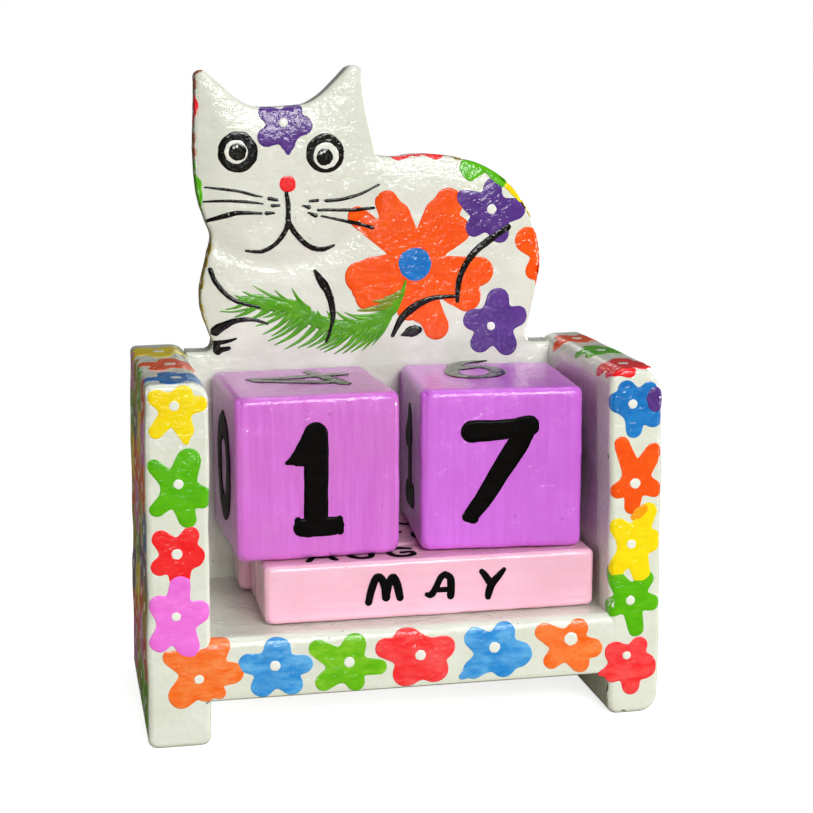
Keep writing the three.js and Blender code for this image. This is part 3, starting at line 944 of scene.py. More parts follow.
eyes = {  # (x, y, radius) in the photograph
    "leftEye": {"ring": (237.8, 152, 20.3), "white": (236, 152, 12.6), "pupil": (237.2, 152, 9.75)},
    "rightEye": {"ring": (325.2, 153.3, 19.5), "white": (326, 155.5, 14), "pupil": (324.6, 157, 9.4)},
}
# the glints' places are from the pupil's middle
glints = {"places": ((-3.4, -4.2, 1.5), (-0.4, -5.4, 1.7)), "rings": 3, "sides": 20}
nose = (287.6, 184.1, 8.3)
for eye in eyes.values():
    for level, (part, paintName) in enumerate((("ring", "black"), ("white", "white"), ("pupil", "black"))):
        discByPixels(paintName, catFace, eye[part], lifts["eye"] + lifts["eyeLayer"] * level)
    for x, y, radius in glints["places"]:
        glint = (eye["pupil"][0] + x, eye["pupil"][1] + y, radius)
        discByPixels("white", catFace, glint, lifts["glint"], glints["rings"], glints["sides"])
discByPixels("red", catFace, nose, lifts["nose"])

# the pressure makes a stroke broader than its trace; the other two say how ragged its sides are
brush = {"pressure": 1.2, "face": 0.16, "stem": 0.2}
faceLines = [  # these strokes and all that follow: (x, y, half width) in the photograph
    [(286.4, 193, 1.6), (288.2, 205, 2.1), (288.2, 218, 2.3), (288.8, 226, 2.4)],
    [(288.4, 223, 2.2), (284.4, 232.8, 2), (276.7, 243, 1.8), (266.5, 250, 1.8), (258.8, 252, 1.6),
     (246.3, 251, 1)],
    [(288.8, 223, 2.2), (295.8, 234, 2.2), (304.8, 243, 2.2), (313.7, 248.3, 2.1), (324, 249.4, 2),
     (334.2, 245.6, 1.1)],
    [(205, 187.6, 0.7), (221.8, 189.2, 1.1), (241, 191.8, 1.2), (254, 195.4, 1.1), (262, 196.8, 0.6)],
    [(204, 202, 0.8), (226, 201, 1.2), (247.5, 202, 1.2), (262.8, 203.8, 0.7)],
    [(207, 221.2, 1.3), (222, 217, 2.2), (238.5, 213, 1.9), (261.2, 213.4, 1.1)],
    [(326, 200.7, 1.4), (343, 199, 1.4), (362, 193.3, 1.2), (379.3, 184.7, 0.8)],
    [(318.2, 210, 1.2), (336.7, 209.9, 1.3), (355.8, 210, 1.5), (374, 208, 1.2)],
    [(321.4, 216, 0.9), (340.5, 220, 1.2), (355.8, 223.2, 1.8), (372.4, 227.6, 1.6)],
    [(269.6, 198.6, 1.8), (277, 200, 1.3)], [(272.6, 205.6, 1.6), (279.4, 205.3, 1)],
    [(266.5, 213.2, 1.7), (274, 213, 1)], [(310, 201, 1.2), (317.6, 200.4, 1.4)],
    [(302.5, 205.6, 0.6), (308.8, 207.2, 1.9)], [(308.4, 212.6, 0.8), (315.6, 215.6, 1.8)],
]
bodyLines = [
    [(210.5, 270, 2), (215.4, 281.7, 2.1), (225.3, 293.6, 1.9), (237.9, 302, 1.7), (258.5, 306.9, 1.5)],
    [(215.5, 331.6, 4.2), (224, 326, 3.6), (236.5, 320.8, 2.3), (253.3, 319.8, 1.6), (267.4, 323.8, 1)],
    [(214.6, 343.4, 1.8), (225.3, 342.3, 1.7), (236.2, 338.8, 0.8)],
    [(217.2, 345.4, 3.2), (217.6, 352, 3), (222, 350.2, 2.3), (229, 348.6, 1.8)],
    [(315, 271.1, 1.5), (320.7, 280.3, 3.4), (327.7, 291.5, 3.3), (332.2, 306.9, 2.7), (332, 322.4, 2.2),
     (326.3, 341.6, 1.2)],
    [(508, 227.1, 2.8), (491.8, 237.8, 3), (474, 252.8, 2.9), (463, 269.3, 2.7), (458.2, 284.4, 2.6),
     (457.4, 300.8, 1.8)],
    [(457.5, 296.3, 1.6), (443.8, 296.7, 1.8), (428.7, 299.5, 2.4), (415, 306.3, 3.3), (402.7, 317.3, 3.1),
     (392.6, 335.5, 1.6)],
    [(401.5, 335.3, 0.8), (405.5, 333.6, 2.6), (410, 331.8, 4.4), (415, 330.6, 4.6), (418.2, 329.8, 3.4)],
]
for stroke in faceLines + bodyLines:
    bolder = [(x, y, half * brush["pressure"]) for x, y, half in stroke]
    lineByPixels("bench", "black", catFace, bolder, lifts["line"], brush["face"])

stemLine = [
    (405.5, 281, 1.2), (401.5, 294, 3.2), (392, 308, 6.2), (377, 320, 6.6), (355, 327, 6.8), (333, 326, 7),
    (313, 319.5, 7), (292, 310, 6.6), (271, 304.5, 6.4), (254, 302, 6.4), (241, 299.5, 3),
]
stemBarbs = [  # root, tip
    ((296, 303, 3), (253.5, 285.8, 0.5)), ((301, 308, 3.4), (275, 290.5, 0.5)),
    ((308, 310, 3.6), (292.3, 288.8, 0.5)), ((322, 320, 3.6), (317.5, 310.4, 0.5)),
    ((353, 322, 3), (336, 311.5, 0.5)), ((371, 320, 3), (345, 312.4, 0.5)),
    ((384, 313, 3.4), (352, 315, 0.6)), ((315, 315, 3), (296, 301, 0.5)),
    ((336, 323, 2.6), (327, 311, 0.5)), ((284, 313, 3), (256, 326, 0.5)), ((300, 321, 3), (268, 341, 0.5)),
    ((313, 328, 3), (285, 349, 0.5)), ((358, 333, 3), (334, 354, 0.5)), ((344, 334, 3), (320, 350, 0.5)),
    ((372, 329, 3), (349, 348, 0.5)), ((268, 309, 3.6), (250.5, 318.6, 0.6)),
    ((279, 311, 3), (263, 317.6, 0.5)), ((291, 314, 3.4), (263.2, 334.4, 0.5)),
    ((296, 317, 3.2), (271.6, 336, 0.5)), ((305, 324, 3.6), (274.6, 345, 0.5)),
    ((322, 331, 3.2), (298, 347.8, 0.5)), ((336, 334, 3.2), (316.5, 348.4, 0.5)),
    ((350, 333, 3.2), (324, 352.4, 0.5)), ((366, 330, 3.6), (343, 353.4, 0.5)),
    ((377, 328, 3.6), (351.5, 352, 0.5)), ((389, 316, 3.8), (372.6, 345, 0.5)),
    ((383, 322, 3.6), (362, 350.5, 0.5)), ((255, 300, 3.6), (235.2, 295.6, 0.6)),
    ((256, 306, 3.6), (235.2, 317, 0.6)), ((262, 297, 2.6), (243, 291.8, 0.5)),
    ((247, 309, 1.4), (221, 311.6, 0.5)), ((243, 304, 2), (226, 309.6, 0.5)),
    ((330, 332, 3), (307, 348, 0.5)),
]
lineByPixels("bench", "leaf", catFace, stemLine, lifts["stem"], brush["stem"])
mossBarbs = [((396, 298, 4), (373, 301.4, 0.8)), ((389, 305, 4.2), (358, 310.6, 0.8)),
             ((401, 293, 3), (385, 297, 0.6))]
barbShape = {"bend": 0.06, "sag": 1, "mossMiddle": (0.6, 0.6), "leafMiddle": (0.5, 0.4)}


def barb(paint, root, tip, bend, middle, lift):
    # a short stroke with its middle moved aside; middle: shares of the root's and the tip's half width
    half = root[2] * middle[0] + tip[2] * middle[1]
    between = ((root[0] + tip[0]) / 2 + bend[0], (root[1] + tip[1]) / 2 + bend[1], half)
    lineByPixels("bench", paint, catFace, [root, between, tip], lift, brush["stem"])


for root, tip in mossBarbs:
    barb("moss", root, tip, (0, barbShape["sag"]), barbShape["mossMiddle"], lifts["moss"])
for root, tip in stemBarbs:
    bend = ((tip[1] - root[1]) * barbShape["bend"], (root[0] - tip[0]) * barbShape["bend"])
    barb("leaf", root, tip, bend, barbShape["leafMiddle"], lifts["barb"])
print("face and stem drawn")

topFlowers = [  # arm, distance across from its middle, depth behind the front, size, turn, paint
    ("left", 0, 8.5, 8, 1.2, "blue"), ("left", 0, 27, 8.2, 0.3, "orange"),
    ("left", -0.6, 46.5, 8.4, 0.9, "yellow"), ("right", 0, 7, 7.4, 0.5, "red"),
    ("right", 0.8, 27, 7.4, 0.2, "green"), ("right", 0.8, 46.5, 7.6, 1.1, "orange"),
]
armTops = {"left": (leftArm, -51.6), "right": (rightArm, 51.2)}
for arm, across, depth, size, turn, paintName in topFlowers:
    board, middle = armTops[arm]
    flowerByHand(paintName, edgeOf(board, middle + across, armSizes["height"], depth), size, turn)

sideFlowers = {
    "heights": [76, 67, 57.5, 48, 38.5, 29, 19.5, 9],
    "depths": [9.4, 23, 36.5, 50],
    "reach": 59.2,
    "drift": (1.2, 0.8),  # up and down, to and fro
    "size": (6.8, 7.6),
    "turn": (0, 1.2),
}
# the darker yellow among these is painted shade, laid on both arms' sides and backs
sidePaints = ["purple", "orange", "green", "red", "olive", "yellow", "magenta"]
# the paints beside the front's left edge, where the photograph shows them; the darker yellow among them is
# painted shade
cornerPaints = ["red", "magenta", "orange", "blue", "purple", "olive", "red", "green"]
rise, shift = sideFlowers["drift"]
for board, outer in ((leftArm, -1), (rightArm, 1)):
    for row, height in enumerate(sideFlowers["heights"]):
        for column, depth in enumerate(sideFlowers["depths"]):
            paintName = sidePaints[(row * 3 + column * 2 + (outer > 0) * 4) % len(sidePaints)]
            if outer < 0 and column == 0:
                paintName = cornerPaints[row]
            spotZ = height + painterHand.uniform(-rise, rise)
            spotDepth = depth + painterHand.uniform(-shift, shift)
            flowerByHand(paintName, edgeOf(board, outer * sideFlowers["reach"], spotZ, spotDepth),
                         painterHand.uniform(*sideFlowers["size"]),
                         painterHand.uniform(*sideFlowers["turn"]),
                         lifts["side"] + lifts["sideLayer"] * ((row + column) % 3))

backFlowers = [  # paint, x, z, size, turn
    ("orange", 10, 118, 9.5, 0.4), ("blue", 28, 104, 8.5, 1), ("red", -12, 104, 8.5, 0.1),
    ("purple", 20, 136, 8.5, 0.7), ("green", -30, 97, 8, 0.9), ("yellow", 2, 89, 8, 0.5),
    ("magenta", -24, 73, 8.5, 0.2), ("orange", -3, 66, 8.5, 1.1), ("blue", 22, 72, 8.5, 0.6),
    ("red", 34, 52, 8.5, 0.2), ("green", 10, 46, 8.5, 0.8), ("yellow", -16, 48, 8.5, 0.3),
    ("purple", -35, 50, 8.5, 1), ("blue", -27, 28, 8.5, 0.5), ("red", -5, 27, 8.5, 0),
    ("orange", 18, 25, 8.5, 0.9), ("magenta", 36, 27, 8.5, 0.4), ("green", 33, 124, 7.5, 0.3),
    ("red", 6, 104, 6, 0.8), ("yellow", -35, 114, 7, 0.2),
]
catBack = faceOf(catBoard, front=False)
for paintName, x, z, size, turn in backFlowers:
    flowerByHand(paintName, catBack, size, turn, place=(x, z))
armBacks = {"middles": (-52, 52.4), "heights": (72, 56, 40, 24, 9), "size": 6.6, "turn": 0.3}
for board, x in zip((leftArm, rightArm), armBacks["middles"]):
    surface = faceOf(board, front=False)
    for row, z in enumerate(armBacks["heights"]):
        paintName = sidePaints[(row * 2 + (x > 0) * 3) % len(sidePaints)]
        flowerByHand(paintName, surface, armBacks["size"], armBacks["turn"] * row, place=(-x, z))
print("sides and back painted")

digitLines = {  # strokes on a grid 1 wide and 1.5 high: (across, up)
    "0": [[(0.5, 1.45), (0.12, 1.2), (0.02, 0.72), (0.16, 0.22), (0.5, 0.04), (0.84, 0.24), (0.98, 0.74),
          (0.86, 1.22), (0.5, 1.45)]],
    "1": [[(0.5, 1.42), (0.5, 0.8), (0.5, 0.1)], [(0.5, 1.4), (0.34, 1.12), (0.2, 1.02)],
          [(0.2, 0.06), (0.82, 0.1)]],
    "2": [[(0.08, 1.12), (0.3, 1.42), (0.72, 1.4), (0.92, 1.1), (0.7, 0.72), (0.3, 0.38), (0.06, 0.08)],
          [(0.06, 0.08), (0.5, 0.12), (0.95, 0.06)]],
    "3": [[(0.1, 1.32), (0.5, 1.45), (0.86, 1.2), (0.78, 0.9), (0.42, 0.8)], [(0.42, 0.8), (0.84, 0.68),
          (0.95, 0.34), (0.62, 0.06), (0.08, 0.14)]],
    "4": [[(0.62, 1.45), (0.3, 0.95), (0.05, 0.5), (0.5, 0.48), (0.98, 0.5)],
          [(0.7, 1), (0.7, 0.5), (0.68, 0.04)]],
    "5": [[(0.88, 1.42), (0.5, 1.4), (0.2, 1.4), (0.16, 0.9)], [(0.16, 0.9), (0.6, 0.98), (0.94, 0.64),
          (0.8, 0.2), (0.42, 0.04), (0.06, 0.16)]],
    "6": [[(0.8, 1.42), (0.4, 1.15), (0.08, 0.7), (0.1, 0.25), (0.45, 0.03), (0.84, 0.2), (0.9, 0.58),
          (0.58, 0.8), (0.2, 0.62)]],
    "7": [[(0.06, 1.36), (0.5, 1.36), (0.94, 1.42)], [(0.94, 1.4), (0.6, 0.8), (0.28, 0.06)]],
    "8": [[(0.5, 0.78), (0.14, 1), (0.2, 1.34), (0.52, 1.45), (0.84, 1.3), (0.8, 0.98), (0.5, 0.78),
          (0.08, 0.5), (0.14, 0.14), (0.5, 0.03), (0.88, 0.16), (0.92, 0.52), (0.5, 0.78)]],
}
letterLines = {  # strokes on a grid 1 wide and 1 high
    "A": [[(0, 0), (0.3, 0.6), (0.5, 1)], [(0.5, 1), (0.74, 0.5), (0.9, 0)], [(0.18, 0.36), (0.8, 0.38)]],
    "B": [[(0.1, 0), (0.1, 0.98)], [(0.1, 0.98), (0.7, 0.88), (0.6, 0.56), (0.1, 0.52)],
          [(0.1, 0.52), (0.85, 0.42), (0.75, 0.05), (0.1, 0.02)]],
    "C": [[(0.85, 0.85), (0.45, 1), (0.08, 0.6), (0.2, 0.12), (0.6, 0), (0.9, 0.16)]],
    "D": [[(0.1, 0), (0.1, 0.98)], [(0.1, 0.98), (0.7, 0.85), (0.9, 0.48), (0.65, 0.08), (0.1, 0.02)]],
    "E": [[(0.12, 0), (0.12, 1)], [(0.12, 1), (0.82, 0.98)], [(0.12, 0.52), (0.7, 0.52)],
          [(0.12, 0.02), (0.85, 0.02)]],
    "F": [[(0.12, 0), (0.12, 1)], [(0.12, 1), (0.85, 0.98)], [(0.12, 0.52), (0.7, 0.52)]],
    "G": [[(0.85, 0.84), (0.45, 1), (0.08, 0.6), (0.2, 0.1), (0.6, 0), (0.88, 0.2), (0.86, 0.46)],
          [(0.86, 0.46), (0.55, 0.44)]],
    "H": [[(0.1, 0), (0.12, 1)], [(0.88, 0), (0.86, 1)], [(0.12, 0.5), (0.86, 0.52)]],
    "I": [[(0.5, 0), (0.5, 1)]],
    "J": [[(0.75, 1), (0.76, 0.3), (0.5, 0), (0.15, 0.2)]],
    "L": [[(0.15, 1), (0.13, 0.02)], [(0.13, 0.02), (0.85, 0.04)]],
    "M": [[(0, 0), (0.1, 0.55), (0.3, 0.97), (0.5, 0.66), (0.52, 0.12)],
          [(0.5, 0.62), (0.7, 1), (0.88, 0.6), (0.98, 0.12)]],
    "N": [[(0.1, 0), (0.12, 0.98)], [(0.12, 0.98), (0.84, 0.04)], [(0.84, 0.04), (0.86, 1)]],
    "O": [[(0.5, 1), (0.12, 0.8), (0.05, 0.4), (0.35, 0.02), (0.75, 0.08), (0.95, 0.5), (0.8, 0.88),
          (0.5, 1)]],
    "P": [[(0.12, 0), (0.12, 0.98)], [(0.12, 0.98), (0.8, 0.9), (0.75, 0.52), (0.12, 0.46)]],
    "R": [[(0.12, 0), (0.12, 0.98)], [(0.12, 0.98), (0.78, 0.9), (0.74, 0.56), (0.12, 0.48)],
          [(0.4, 0.48), (0.88, 0)]],
    "S": [[(0.82, 0.88), (0.45, 1), (0.14, 0.78), (0.45, 0.52), (0.84, 0.3), (0.55, 0), (0.1, 0.12)]],
    "T": [[(0.5, 0), (0.5, 1)], [(0.05, 0.98), (0.95, 1)]],
    "U": [[(0.1, 1), (0.1, 0.35), (0.4, 0), (0.8, 0.2), (0.86, 1)]],
    "V": [[(0.05, 1), (0.45, 0)], [(0.45, 0), (0.92, 1)]],
    "Y": [[(0.1, 1), (0.48, 0.52)], [(0.95, 1), (0.66, 0.7), (0.48, 0.5), (0.3, 0)]],
}
blockShape = {
    "cell": 1.5,
    "bevelSteps": 6,
    "sharp": 1,  # radians: an edge that bends more is rounded
    "worn": 0.1,
    "waves": ((0.25, 0.13), (0.6, 0.078)),  # scale and height of the unevenness
    "cornerWear": 5.5,
    "wear": (0.03, 0.5, 1.6),  # scale, mean and swing of how far the corners are worn
}


def blockMesh(size, edge, centre, turn):
    mesh = bmesh.new()
    bmesh.ops.create_cube(mesh, size=1)
    bmesh.ops.scale(mesh, vec=size, verts=mesh.verts[:])
    for axis in range(3):
        way = Vector([float(i == axis) for i in range(3)])
        for place in spaced(-size[axis] / 2 + edge, size[axis] / 2 - edge, blockShape["cell"]):
            bmesh.ops.bisect_plane(mesh, geom=mesh.verts[:] + mesh.edges[:] + mesh.faces[:], dist=0.001,
                                   plane_co=way * place, plane_no=way)
    sharp = [e for e in mesh.edges if e.calc_face_angle() > blockShape["sharp"]]
    bmesh.ops.bevel(mesh, geom=sharp, offset=edge, offset_type="OFFSET", segments=blockShape["bevelSteps"],
                    profile=0.5, affect="EDGES", material=-1)
    mesh.normal_update()
    wander = painterHand.random() * paintShape["wander"]
    (broad, broadHeight), (fine, fineHeight) = blockShape["waves"]
    wearScale, mean, swing = blockShape["wear"]
    dents = []
    for vertex in mesh.verts:
        dent = blockShape["worn"] + broadHeight * noise.noise(vertex.co * broad + Vector((wander, 0, 0)))
        dent += fineHeight * noise.noise(vertex.co * fine + Vector((0, wander, 0)))
        corner = abs(vertex.normal.x * vertex.normal.y * vertex.normal.z) * blockShape["cornerWear"]
        wear = mean + swing * noise.noise(vertex.co * wearScale + Vector((0, 0, wander)))
        dents.append(vertex.normal * -(dent + corner * max(0, wear)))
    for vertex, dent in zip(mesh.verts, dents):
        vertex.co += dent
    bmesh.ops.rotate(mesh, cent=(0, 0, 0), matrix=Matrix.Rotation(turn, 3, "Z"), verts=mesh.verts[:])
    bmesh.ops.translate(mesh, vec=centre, verts=mesh.verts[:])
    return mesh


def blockFaces(size, centre, turn):
    # each face with its own right and up, as someone facing it sees them
    spin = Matrix.Rotation(turn, 3, "Z")
    x, y, z = (spin @ Vector(axis) for axis in ((1, 0, 0), (0, 1, 0), (0, 0, 1)))
    half = size / 2
    return {
        "front": flatFace(centre - y * half.y, x, z),
        "back": flatFace(centre + y * half.y, -x, z),
        "left": flatFace(centre - x * half.x, -y, z),
        "right": flatFace(centre + x * half.x, y, z),
        "top": flatFace(centre + z * half.z, x, y),
        "bottom": flatFace(centre - z * half.z, x, -y),
    }


figureBrush = {"ragged": 0.06, "pressure": (0.9, 1.1)}


def drawFigure(body, surface, strokes, corner, scale, half):
    for stroke in strokes:
        points = [Vector(corner) + Vector(point) * scale for point in stroke]
        widths = [half * painterHand.uniform(*figureBrush["pressure"]) for point in points]
        layPaint(body, "ink", surface, brushLine(points, widths, lifts["figure"], figureBrush["ragged"]))


cubeSizes = {"side": 38.3, "skin": 0.1, "edge": 1.9, "digitHeight": 21.5, "digitGrid": 1.5, "brush": 2.9}
dayCubes = {
    "day_cube_left": {"turn": 0.042, "digits": {"back": "2", "left": "0", "right": "3", "bottom": "5"}},
    "day_cube_right": {"turn": -0.075, "digits": {"back": "2", "left": "1", "right": "0", "bottom": "8"}},
}
frontDigits = {
    "day_cube_left": [
        [(315.8, 434.4, 12.6), (316.4, 450, 12.6), (316.3, 478.4, 12.4), (316.2, 505, 12.3),
         (316.2, 524, 12.4)],
        [(311, 437, 9), (306, 447, 9), (299.5, 455.5, 7.4), (293, 460.6, 5), (287.4, 463, 2.2)],
        [(312, 455, 9), (304, 460, 7), (297, 463, 3.6)],
        [(302.6, 527.8, 9.4), (310, 527.6, 9.9), (320, 527, 9.6), (329, 526.4, 9.8), (335.4, 525.6, 9.2)],
        [(298, 520.6, 3.6), (298.4, 532, 3.8)], [(339.6, 519, 3.6), (340.4, 531, 3.8)],
    ],
    "day_cube_right": [
        [(472, 431.7, 11.4), (484, 430.9, 11), (500, 430, 10.2), (516, 428, 10), (526, 425.6, 9.4)],
        [(520, 424, 7.4), (530.6, 423, 7.6), (532, 428, 7.2)],
        [(527.6, 426.6, 10), (517, 445.5, 11), (501, 470.5, 10.4), (484.2, 497.9, 9.2), (472, 514.6, 8)],
        [(467, 517, 5), (473.4, 518.4, 5.6)],
    ],
}
topDigits = {
    "day_cube_left": [
        [(252, 379.4, 7), (290, 377.6, 8.5), (320, 375.4, 8.5), (342, 373.8, 7)],
        [(309, 372, 7), (326, 377.4, 8.5), (344, 383, 8)], [(256, 381, 6), (290, 381.6, 8), (328, 382, 7)],
    ],
    "day_cube_right": [
        [(454, 367.6, 7), (451.6, 371.8, 8), (458, 375.4, 8.4), (474.9, 376.9, 8.5), (491, 375.4, 8.5),
         (498, 371.7, 8.5), (491, 368, 8.5), (474.9, 366.6, 8.5), (459, 368.4, 8)],
        [(452, 371, 7), (455, 365.6, 7.4), (466, 361.8, 7), (482, 359.8, 5.6)],
    ],
}
for cube, settings in dayCubes.items():
    low, high = boxOf(cube)
    centre = (low + high) / 2
    side = cubeSizes["side"] - 2 * cubeSizes["skin"]
    size = Vector((side, side, side))
    block = blockMesh(size, cubeSizes["edge"], centre, settings["turn"])
    finishPiece("painted_" + cube, block, cubePaints[cube], cube, cube)
    faces = blockFaces(size, centre, settings["turn"])
    for facing, digits, paintName in (("front", frontDigits, "ink"), ("top", topDigits, "black")):
        for stroke in digits[cube]:
            lineByPixels(cube, paintName, faces[facing], stroke, lifts["figure"])
    height = cubeSizes["digitHeight"]
    scale = height / cubeSizes["digitGrid"]
    for facing, digit in settings["digits"].items():
        corner = (-scale / 2, -height / 2)
        drawFigure(cube, faces[facing], digitLines[digit], corner, scale, cubeSizes["brush"])

barSizes = {
    "skin": 0.1, "edge": 1.4, "letterHeight": 7, "brush": 0.8,
    "pitch": 9.4, "longest": 66,  # from letter to letter, and the room for a long name
    "letterShare": 0.72,  # of the pitch
    "topStart": -28.2,  # where the name on a bar's top begins
}
monthBars = {
    "month_bar_front": {"front": "MAY", "top": "AUG", "back": "NOVEMBER", "bottom": "FEBRUARY"},
    "month_bar_middle": {"front": "JUNE", "top": "OCTOBER", "back": "MARCH", "bottom": "DECEMBER"},
    "month_bar_rear": {"front": "JULY", "top": "JANUARY", "back": "SEPTEMBER", "bottom": "APRIL"},
}
mayLines = [
    [(368.7, 602.5, 3.6), (371.6, 590, 4), (375.4, 579.6, 4), (379.4, 577, 3.8), (383.4, 582, 4),
     (385.8, 590.5, 4.4), (386.2, 597.4, 4.3)],
    [(386.4, 594, 4.2), (389, 583.5, 4.2), (393.2, 577, 3.8), (397, 584, 4.2), (400.2, 597.6, 3.8)],
    [(427, 594.4, 2.4), (431.6, 594.6, 3.6), (436.4, 586.6, 3.3), (440.6, 578, 3.4), (445, 574.2, 3.2)],
    [(445, 574.2, 3.2), (450.4, 578, 3.8), (451, 588, 4.1), (450.7, 595.8, 3.8)],
    [(436, 590, 2.8), (446, 589.4, 2.8)], [(481.8, 571.4, 2.8), (484.8, 574.8, 3.4), (489.5, 581.5, 3.8)],
    [(504.2, 569.2, 2.2), (499, 575.5, 3.5), (492, 584, 4.1), (489, 592, 3.8), (488.2, 596.6, 3.2)],
]
for bar, months in monthBars.items():
    low, high = boxOf(bar)
    centre = (low + high) / 2
    skin = barSizes["skin"]
    size = high - low - Vector((skin, skin, skin)) * 2
    block = blockMesh(size, barSizes["edge"], centre, 0)
    finishPiece("painted_" + bar, block, pinkPaint, bar, bar)
    faces = blockFaces(size, centre, 0)
    height = barSizes["letterHeight"]
    for facing, month in months.items():
        if month == "MAY":
            for stroke in mayLines:
                lineByPixels(bar, "ink", faces[facing], stroke, lifts["figure"], figureBrush["ragged"])
            continue
        pitch = min(barSizes["pitch"], barSizes["longest"] / len(month))
        start = barSizes["topStart"] if facing == "top" else -pitch * len(month) / 2
        width = pitch * barSizes["letterShare"] / height
        for i, letter in enumerate(month):
            strokes = [[(x * width, y) for x, y in stroke] for stroke in letterLines[letter]]
            corner = (start + i * pitch, -height / 2)
            drawFigure(bar, faces[facing], strokes, corner, height, barSizes["brush"])

chips = [  # where the paint is knocked off the front: (x, y, half width) in the photograph
    (rightFront, [(607.7, 684.4, 0.4), (607.3, 689, 0.9), (606.3, 693.4, 0.5)]),
    (rightFront, [(621.8, 710.2, 0.4), (623.6, 710.4, 0.9), (625.4, 710.4, 0.4)]),
    (rightFront, [(607.5, 455.4, 0.4), (607.7, 458, 0.8), (607.3, 460.4, 0.4)]),
    (leftFront, [(206.6, 703.4, 0.5), (208, 702.6, 0.8), (209.6, 701, 0.5)]),
]
for surface, chip in chips:
    lineByPixels("bench", "bare", surface, chip, lifts["chip"])
print("cubes and bars made")

for (body, paintName), strokes in coats.items():
    whole = bmesh.new()
    for stroke in strokes:
        part = bpy.data.meshes.new("part")
        stroke.to_mesh(part)
        stroke.free()
        whole.from_mesh(part)
        bpy.data.meshes.remove(part)
    piece = finishPiece(paintName + "_on_" + body, whole, paints[paintName], body, weighted=False)
    print(piece.name, len(piece.data.polygons))

stage = {  # lengths in metres
    "floorSize": 6,
    "floorColour": (250, 250, 250),
    "bounceColour": (138, 128, 98),  # the floor's colour as its light reaches the object
    "paper": 0.76,  # how bright the floor is in the picture without the lamps
    "near": 0.1,  # from here on the floor fades to white
    "far": 0.32,
    "room": 0.06,  # strength of the light from all round
}


def cameraOrNot(tree, forOthers, forCamera, output):
    # the camera meets one shader, and the light that goes between things meets the other
    ray = addNode(tree, "ShaderNodeLightPath").outputs["Is Camera Ray"]
    either = addNode(tree, "ShaderNodeMixShader", {0: ray, 1: forOthers, 2: forCamera})
    addNode(tree, output, {"Surface": either.outputs["Shader"]})


def makeStage():
    # the floor shows the camera its shadow near the object and white further off
    floor = bmesh.new()
    bmesh.ops.create_grid(floor, x_segments=4, y_segments=4, size=stage["floorSize"] / 2)
    data = bpy.data.meshes.new("floor")
    floor.to_mesh(data)
    floor.free()
    piece = bpy.data.objects.new("floor", data)
    bpy.context.scene.collection.objects.link(piece)
    material, tree = newMaterial("pale_floor")[:2]
    tree.nodes.clear()
    seen = addNode(tree, "ShaderNodeBsdfDiffuse", {"Color": linear(stage["floorColour"])})
    felt = addNode(tree, "ShaderNodeBsdfDiffuse", {"Color": linear(stage["bounceColour"])})
    paper = addNode(tree, "ShaderNodeEmission", {"Strength": stage["paper"]})  # for the camera alone
    white = addNode(tree, "ShaderNodeEmission", {"Strength": 1})
    bright = addNode(tree, "ShaderNodeAddShader", {0: seen.outputs["BSDF"], 1: paper.outputs["Emission"]})
    place = addNode(tree, "ShaderNodeTexCoord")
    reach = addNode(tree, "ShaderNodeVectorMath", {0: place.outputs["Object"]}, operation="LENGTH")
    fade = addNode(tree, "ShaderNodeMapRange", {
        "Value": reach.outputs["Value"], "From Min": stage["near"], "From Max": stage["far"],
    }, interpolation_type="SMOOTHSTEP")
    backdrop = addNode(tree, "ShaderNodeMixShader", {
        0: fade.outputs["Result"], 1: bright.outputs["Shader"], 2: white.outputs["Emission"]})
    cameraOrNot(tree, felt.outputs["BSDF"], backdrop.outputs["Shader"], "ShaderNodeOutputMaterial")
    data.materials.append(material)


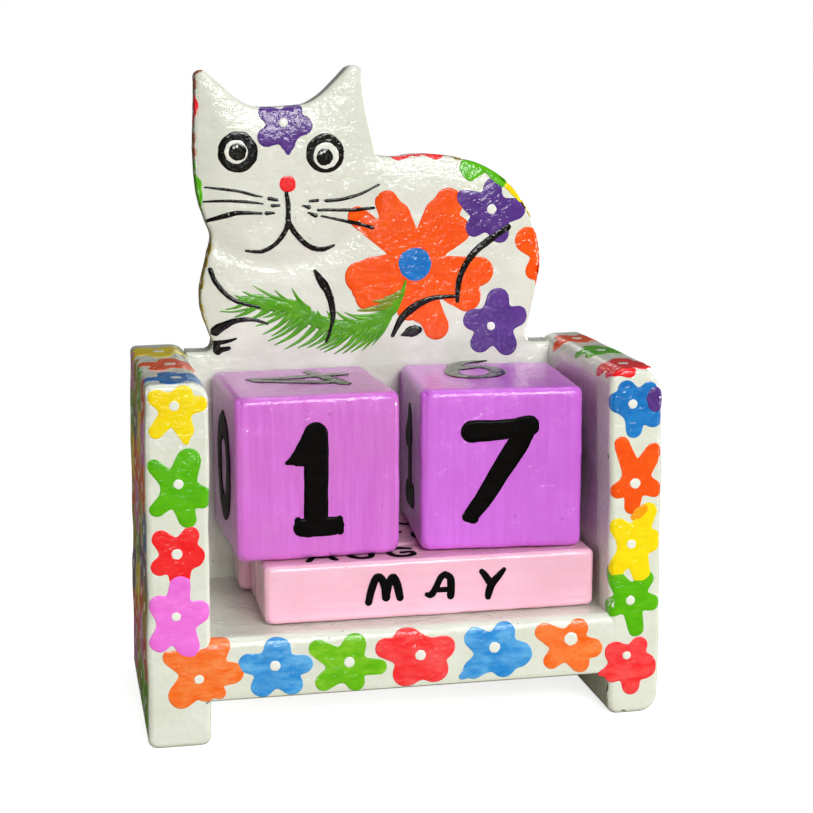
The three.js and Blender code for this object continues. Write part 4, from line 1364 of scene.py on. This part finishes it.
def makeWorld():
    world = bpy.data.worlds.new("studio")
    bpy.context.scene.world = world
    world.use_nodes = True
    tree = world.node_tree
    tree.nodes.clear()
    room, white = (addNode(tree, "ShaderNodeBackground", {"Color": (1, 1, 1, 1), "Strength": strength})
                   for strength in (stage["room"], 1))
    cameraOrNot(tree, room.outputs["Background"], white.outputs["Background"], "ShaderNodeOutputWorld")


lamps = {  # place and aim in metres, width and height, watts, spread in degrees
    "key_window": ((0.2, -0.95, 0.62), (0, 0, 0.03), (0.5, 0.3), 7.2, 180),
    "strip_window": ((0.18, -1, 0.4), (0, 0, 0.1), (0.6, 0.05), 1.9, 180),
    "low_window_front": ((0.05, -0.85, 0.1), (0, 0, -0.12), (0.5, 0.06), 0.11, 36),
    "low_window_right": ((0.92, -0.3, 0.06), (0, 0, 0.03), (0.3, 0.1), 3.4, 180),
    "low_window_left": ((-0.8, -0.12, 0.05), (0, 0, 0.04), (0.4, 0.08), 1.3, 180),
    "ceiling_light": ((0.05, 0.1, 1.1), (0, 0, 0.05), (0.5, 0.5), 2.5, 180),
    "far_wall": ((0.2, 1.2, 0.42), (0, 0, 0.1), (0.2, 0.32), 0.26, 180),
    "rear_window": ((0.66, 0.76, 0.12), (0, 0, 0.06), (0.4, 0.2), 5.4, 180),
}
makeStage()
makeWorld()
for name, (place, aim, (width, height), watts, spread) in lamps.items():
    lamp = bpy.data.lights.new(name, "AREA")
    lamp.shape = "RECTANGLE"
    lamp.size, lamp.size_y = width, height
    lamp.energy = watts
    lamp.spread = math.radians(spread)
    holder = bpy.data.objects.new(name, lamp)
    holder.visible_camera = False
    holder.location = place
    holder.rotation_euler = (Vector(aim) - Vector(place)).to_track_quat("-Z", "Y").to_euler()
    bpy.context.scene.collection.objects.link(holder)

camera = bpy.data.cameras.new("camera")
camera.sensor_width = photoView["sensor"]
camera.lens = photoView["focalPixels"] / photoView["pictureSide"] * photoView["sensor"]
camera.clip_start = 0.01
cameraHolder = bpy.data.objects.new("camera", camera)
facing = Matrix((rightHand, overHead, -ahead)).transposed().to_4x4()
cameraHolder.matrix_world = Matrix.Translation(Vector(photoView["place"]) * millimetre) @ facing
bpy.context.scene.collection.objects.link(cameraHolder)
bpy.context.scene.camera = cameraHolder
bpy.context.scene.view_settings.view_transform = "Standard"

print("calendar finished")
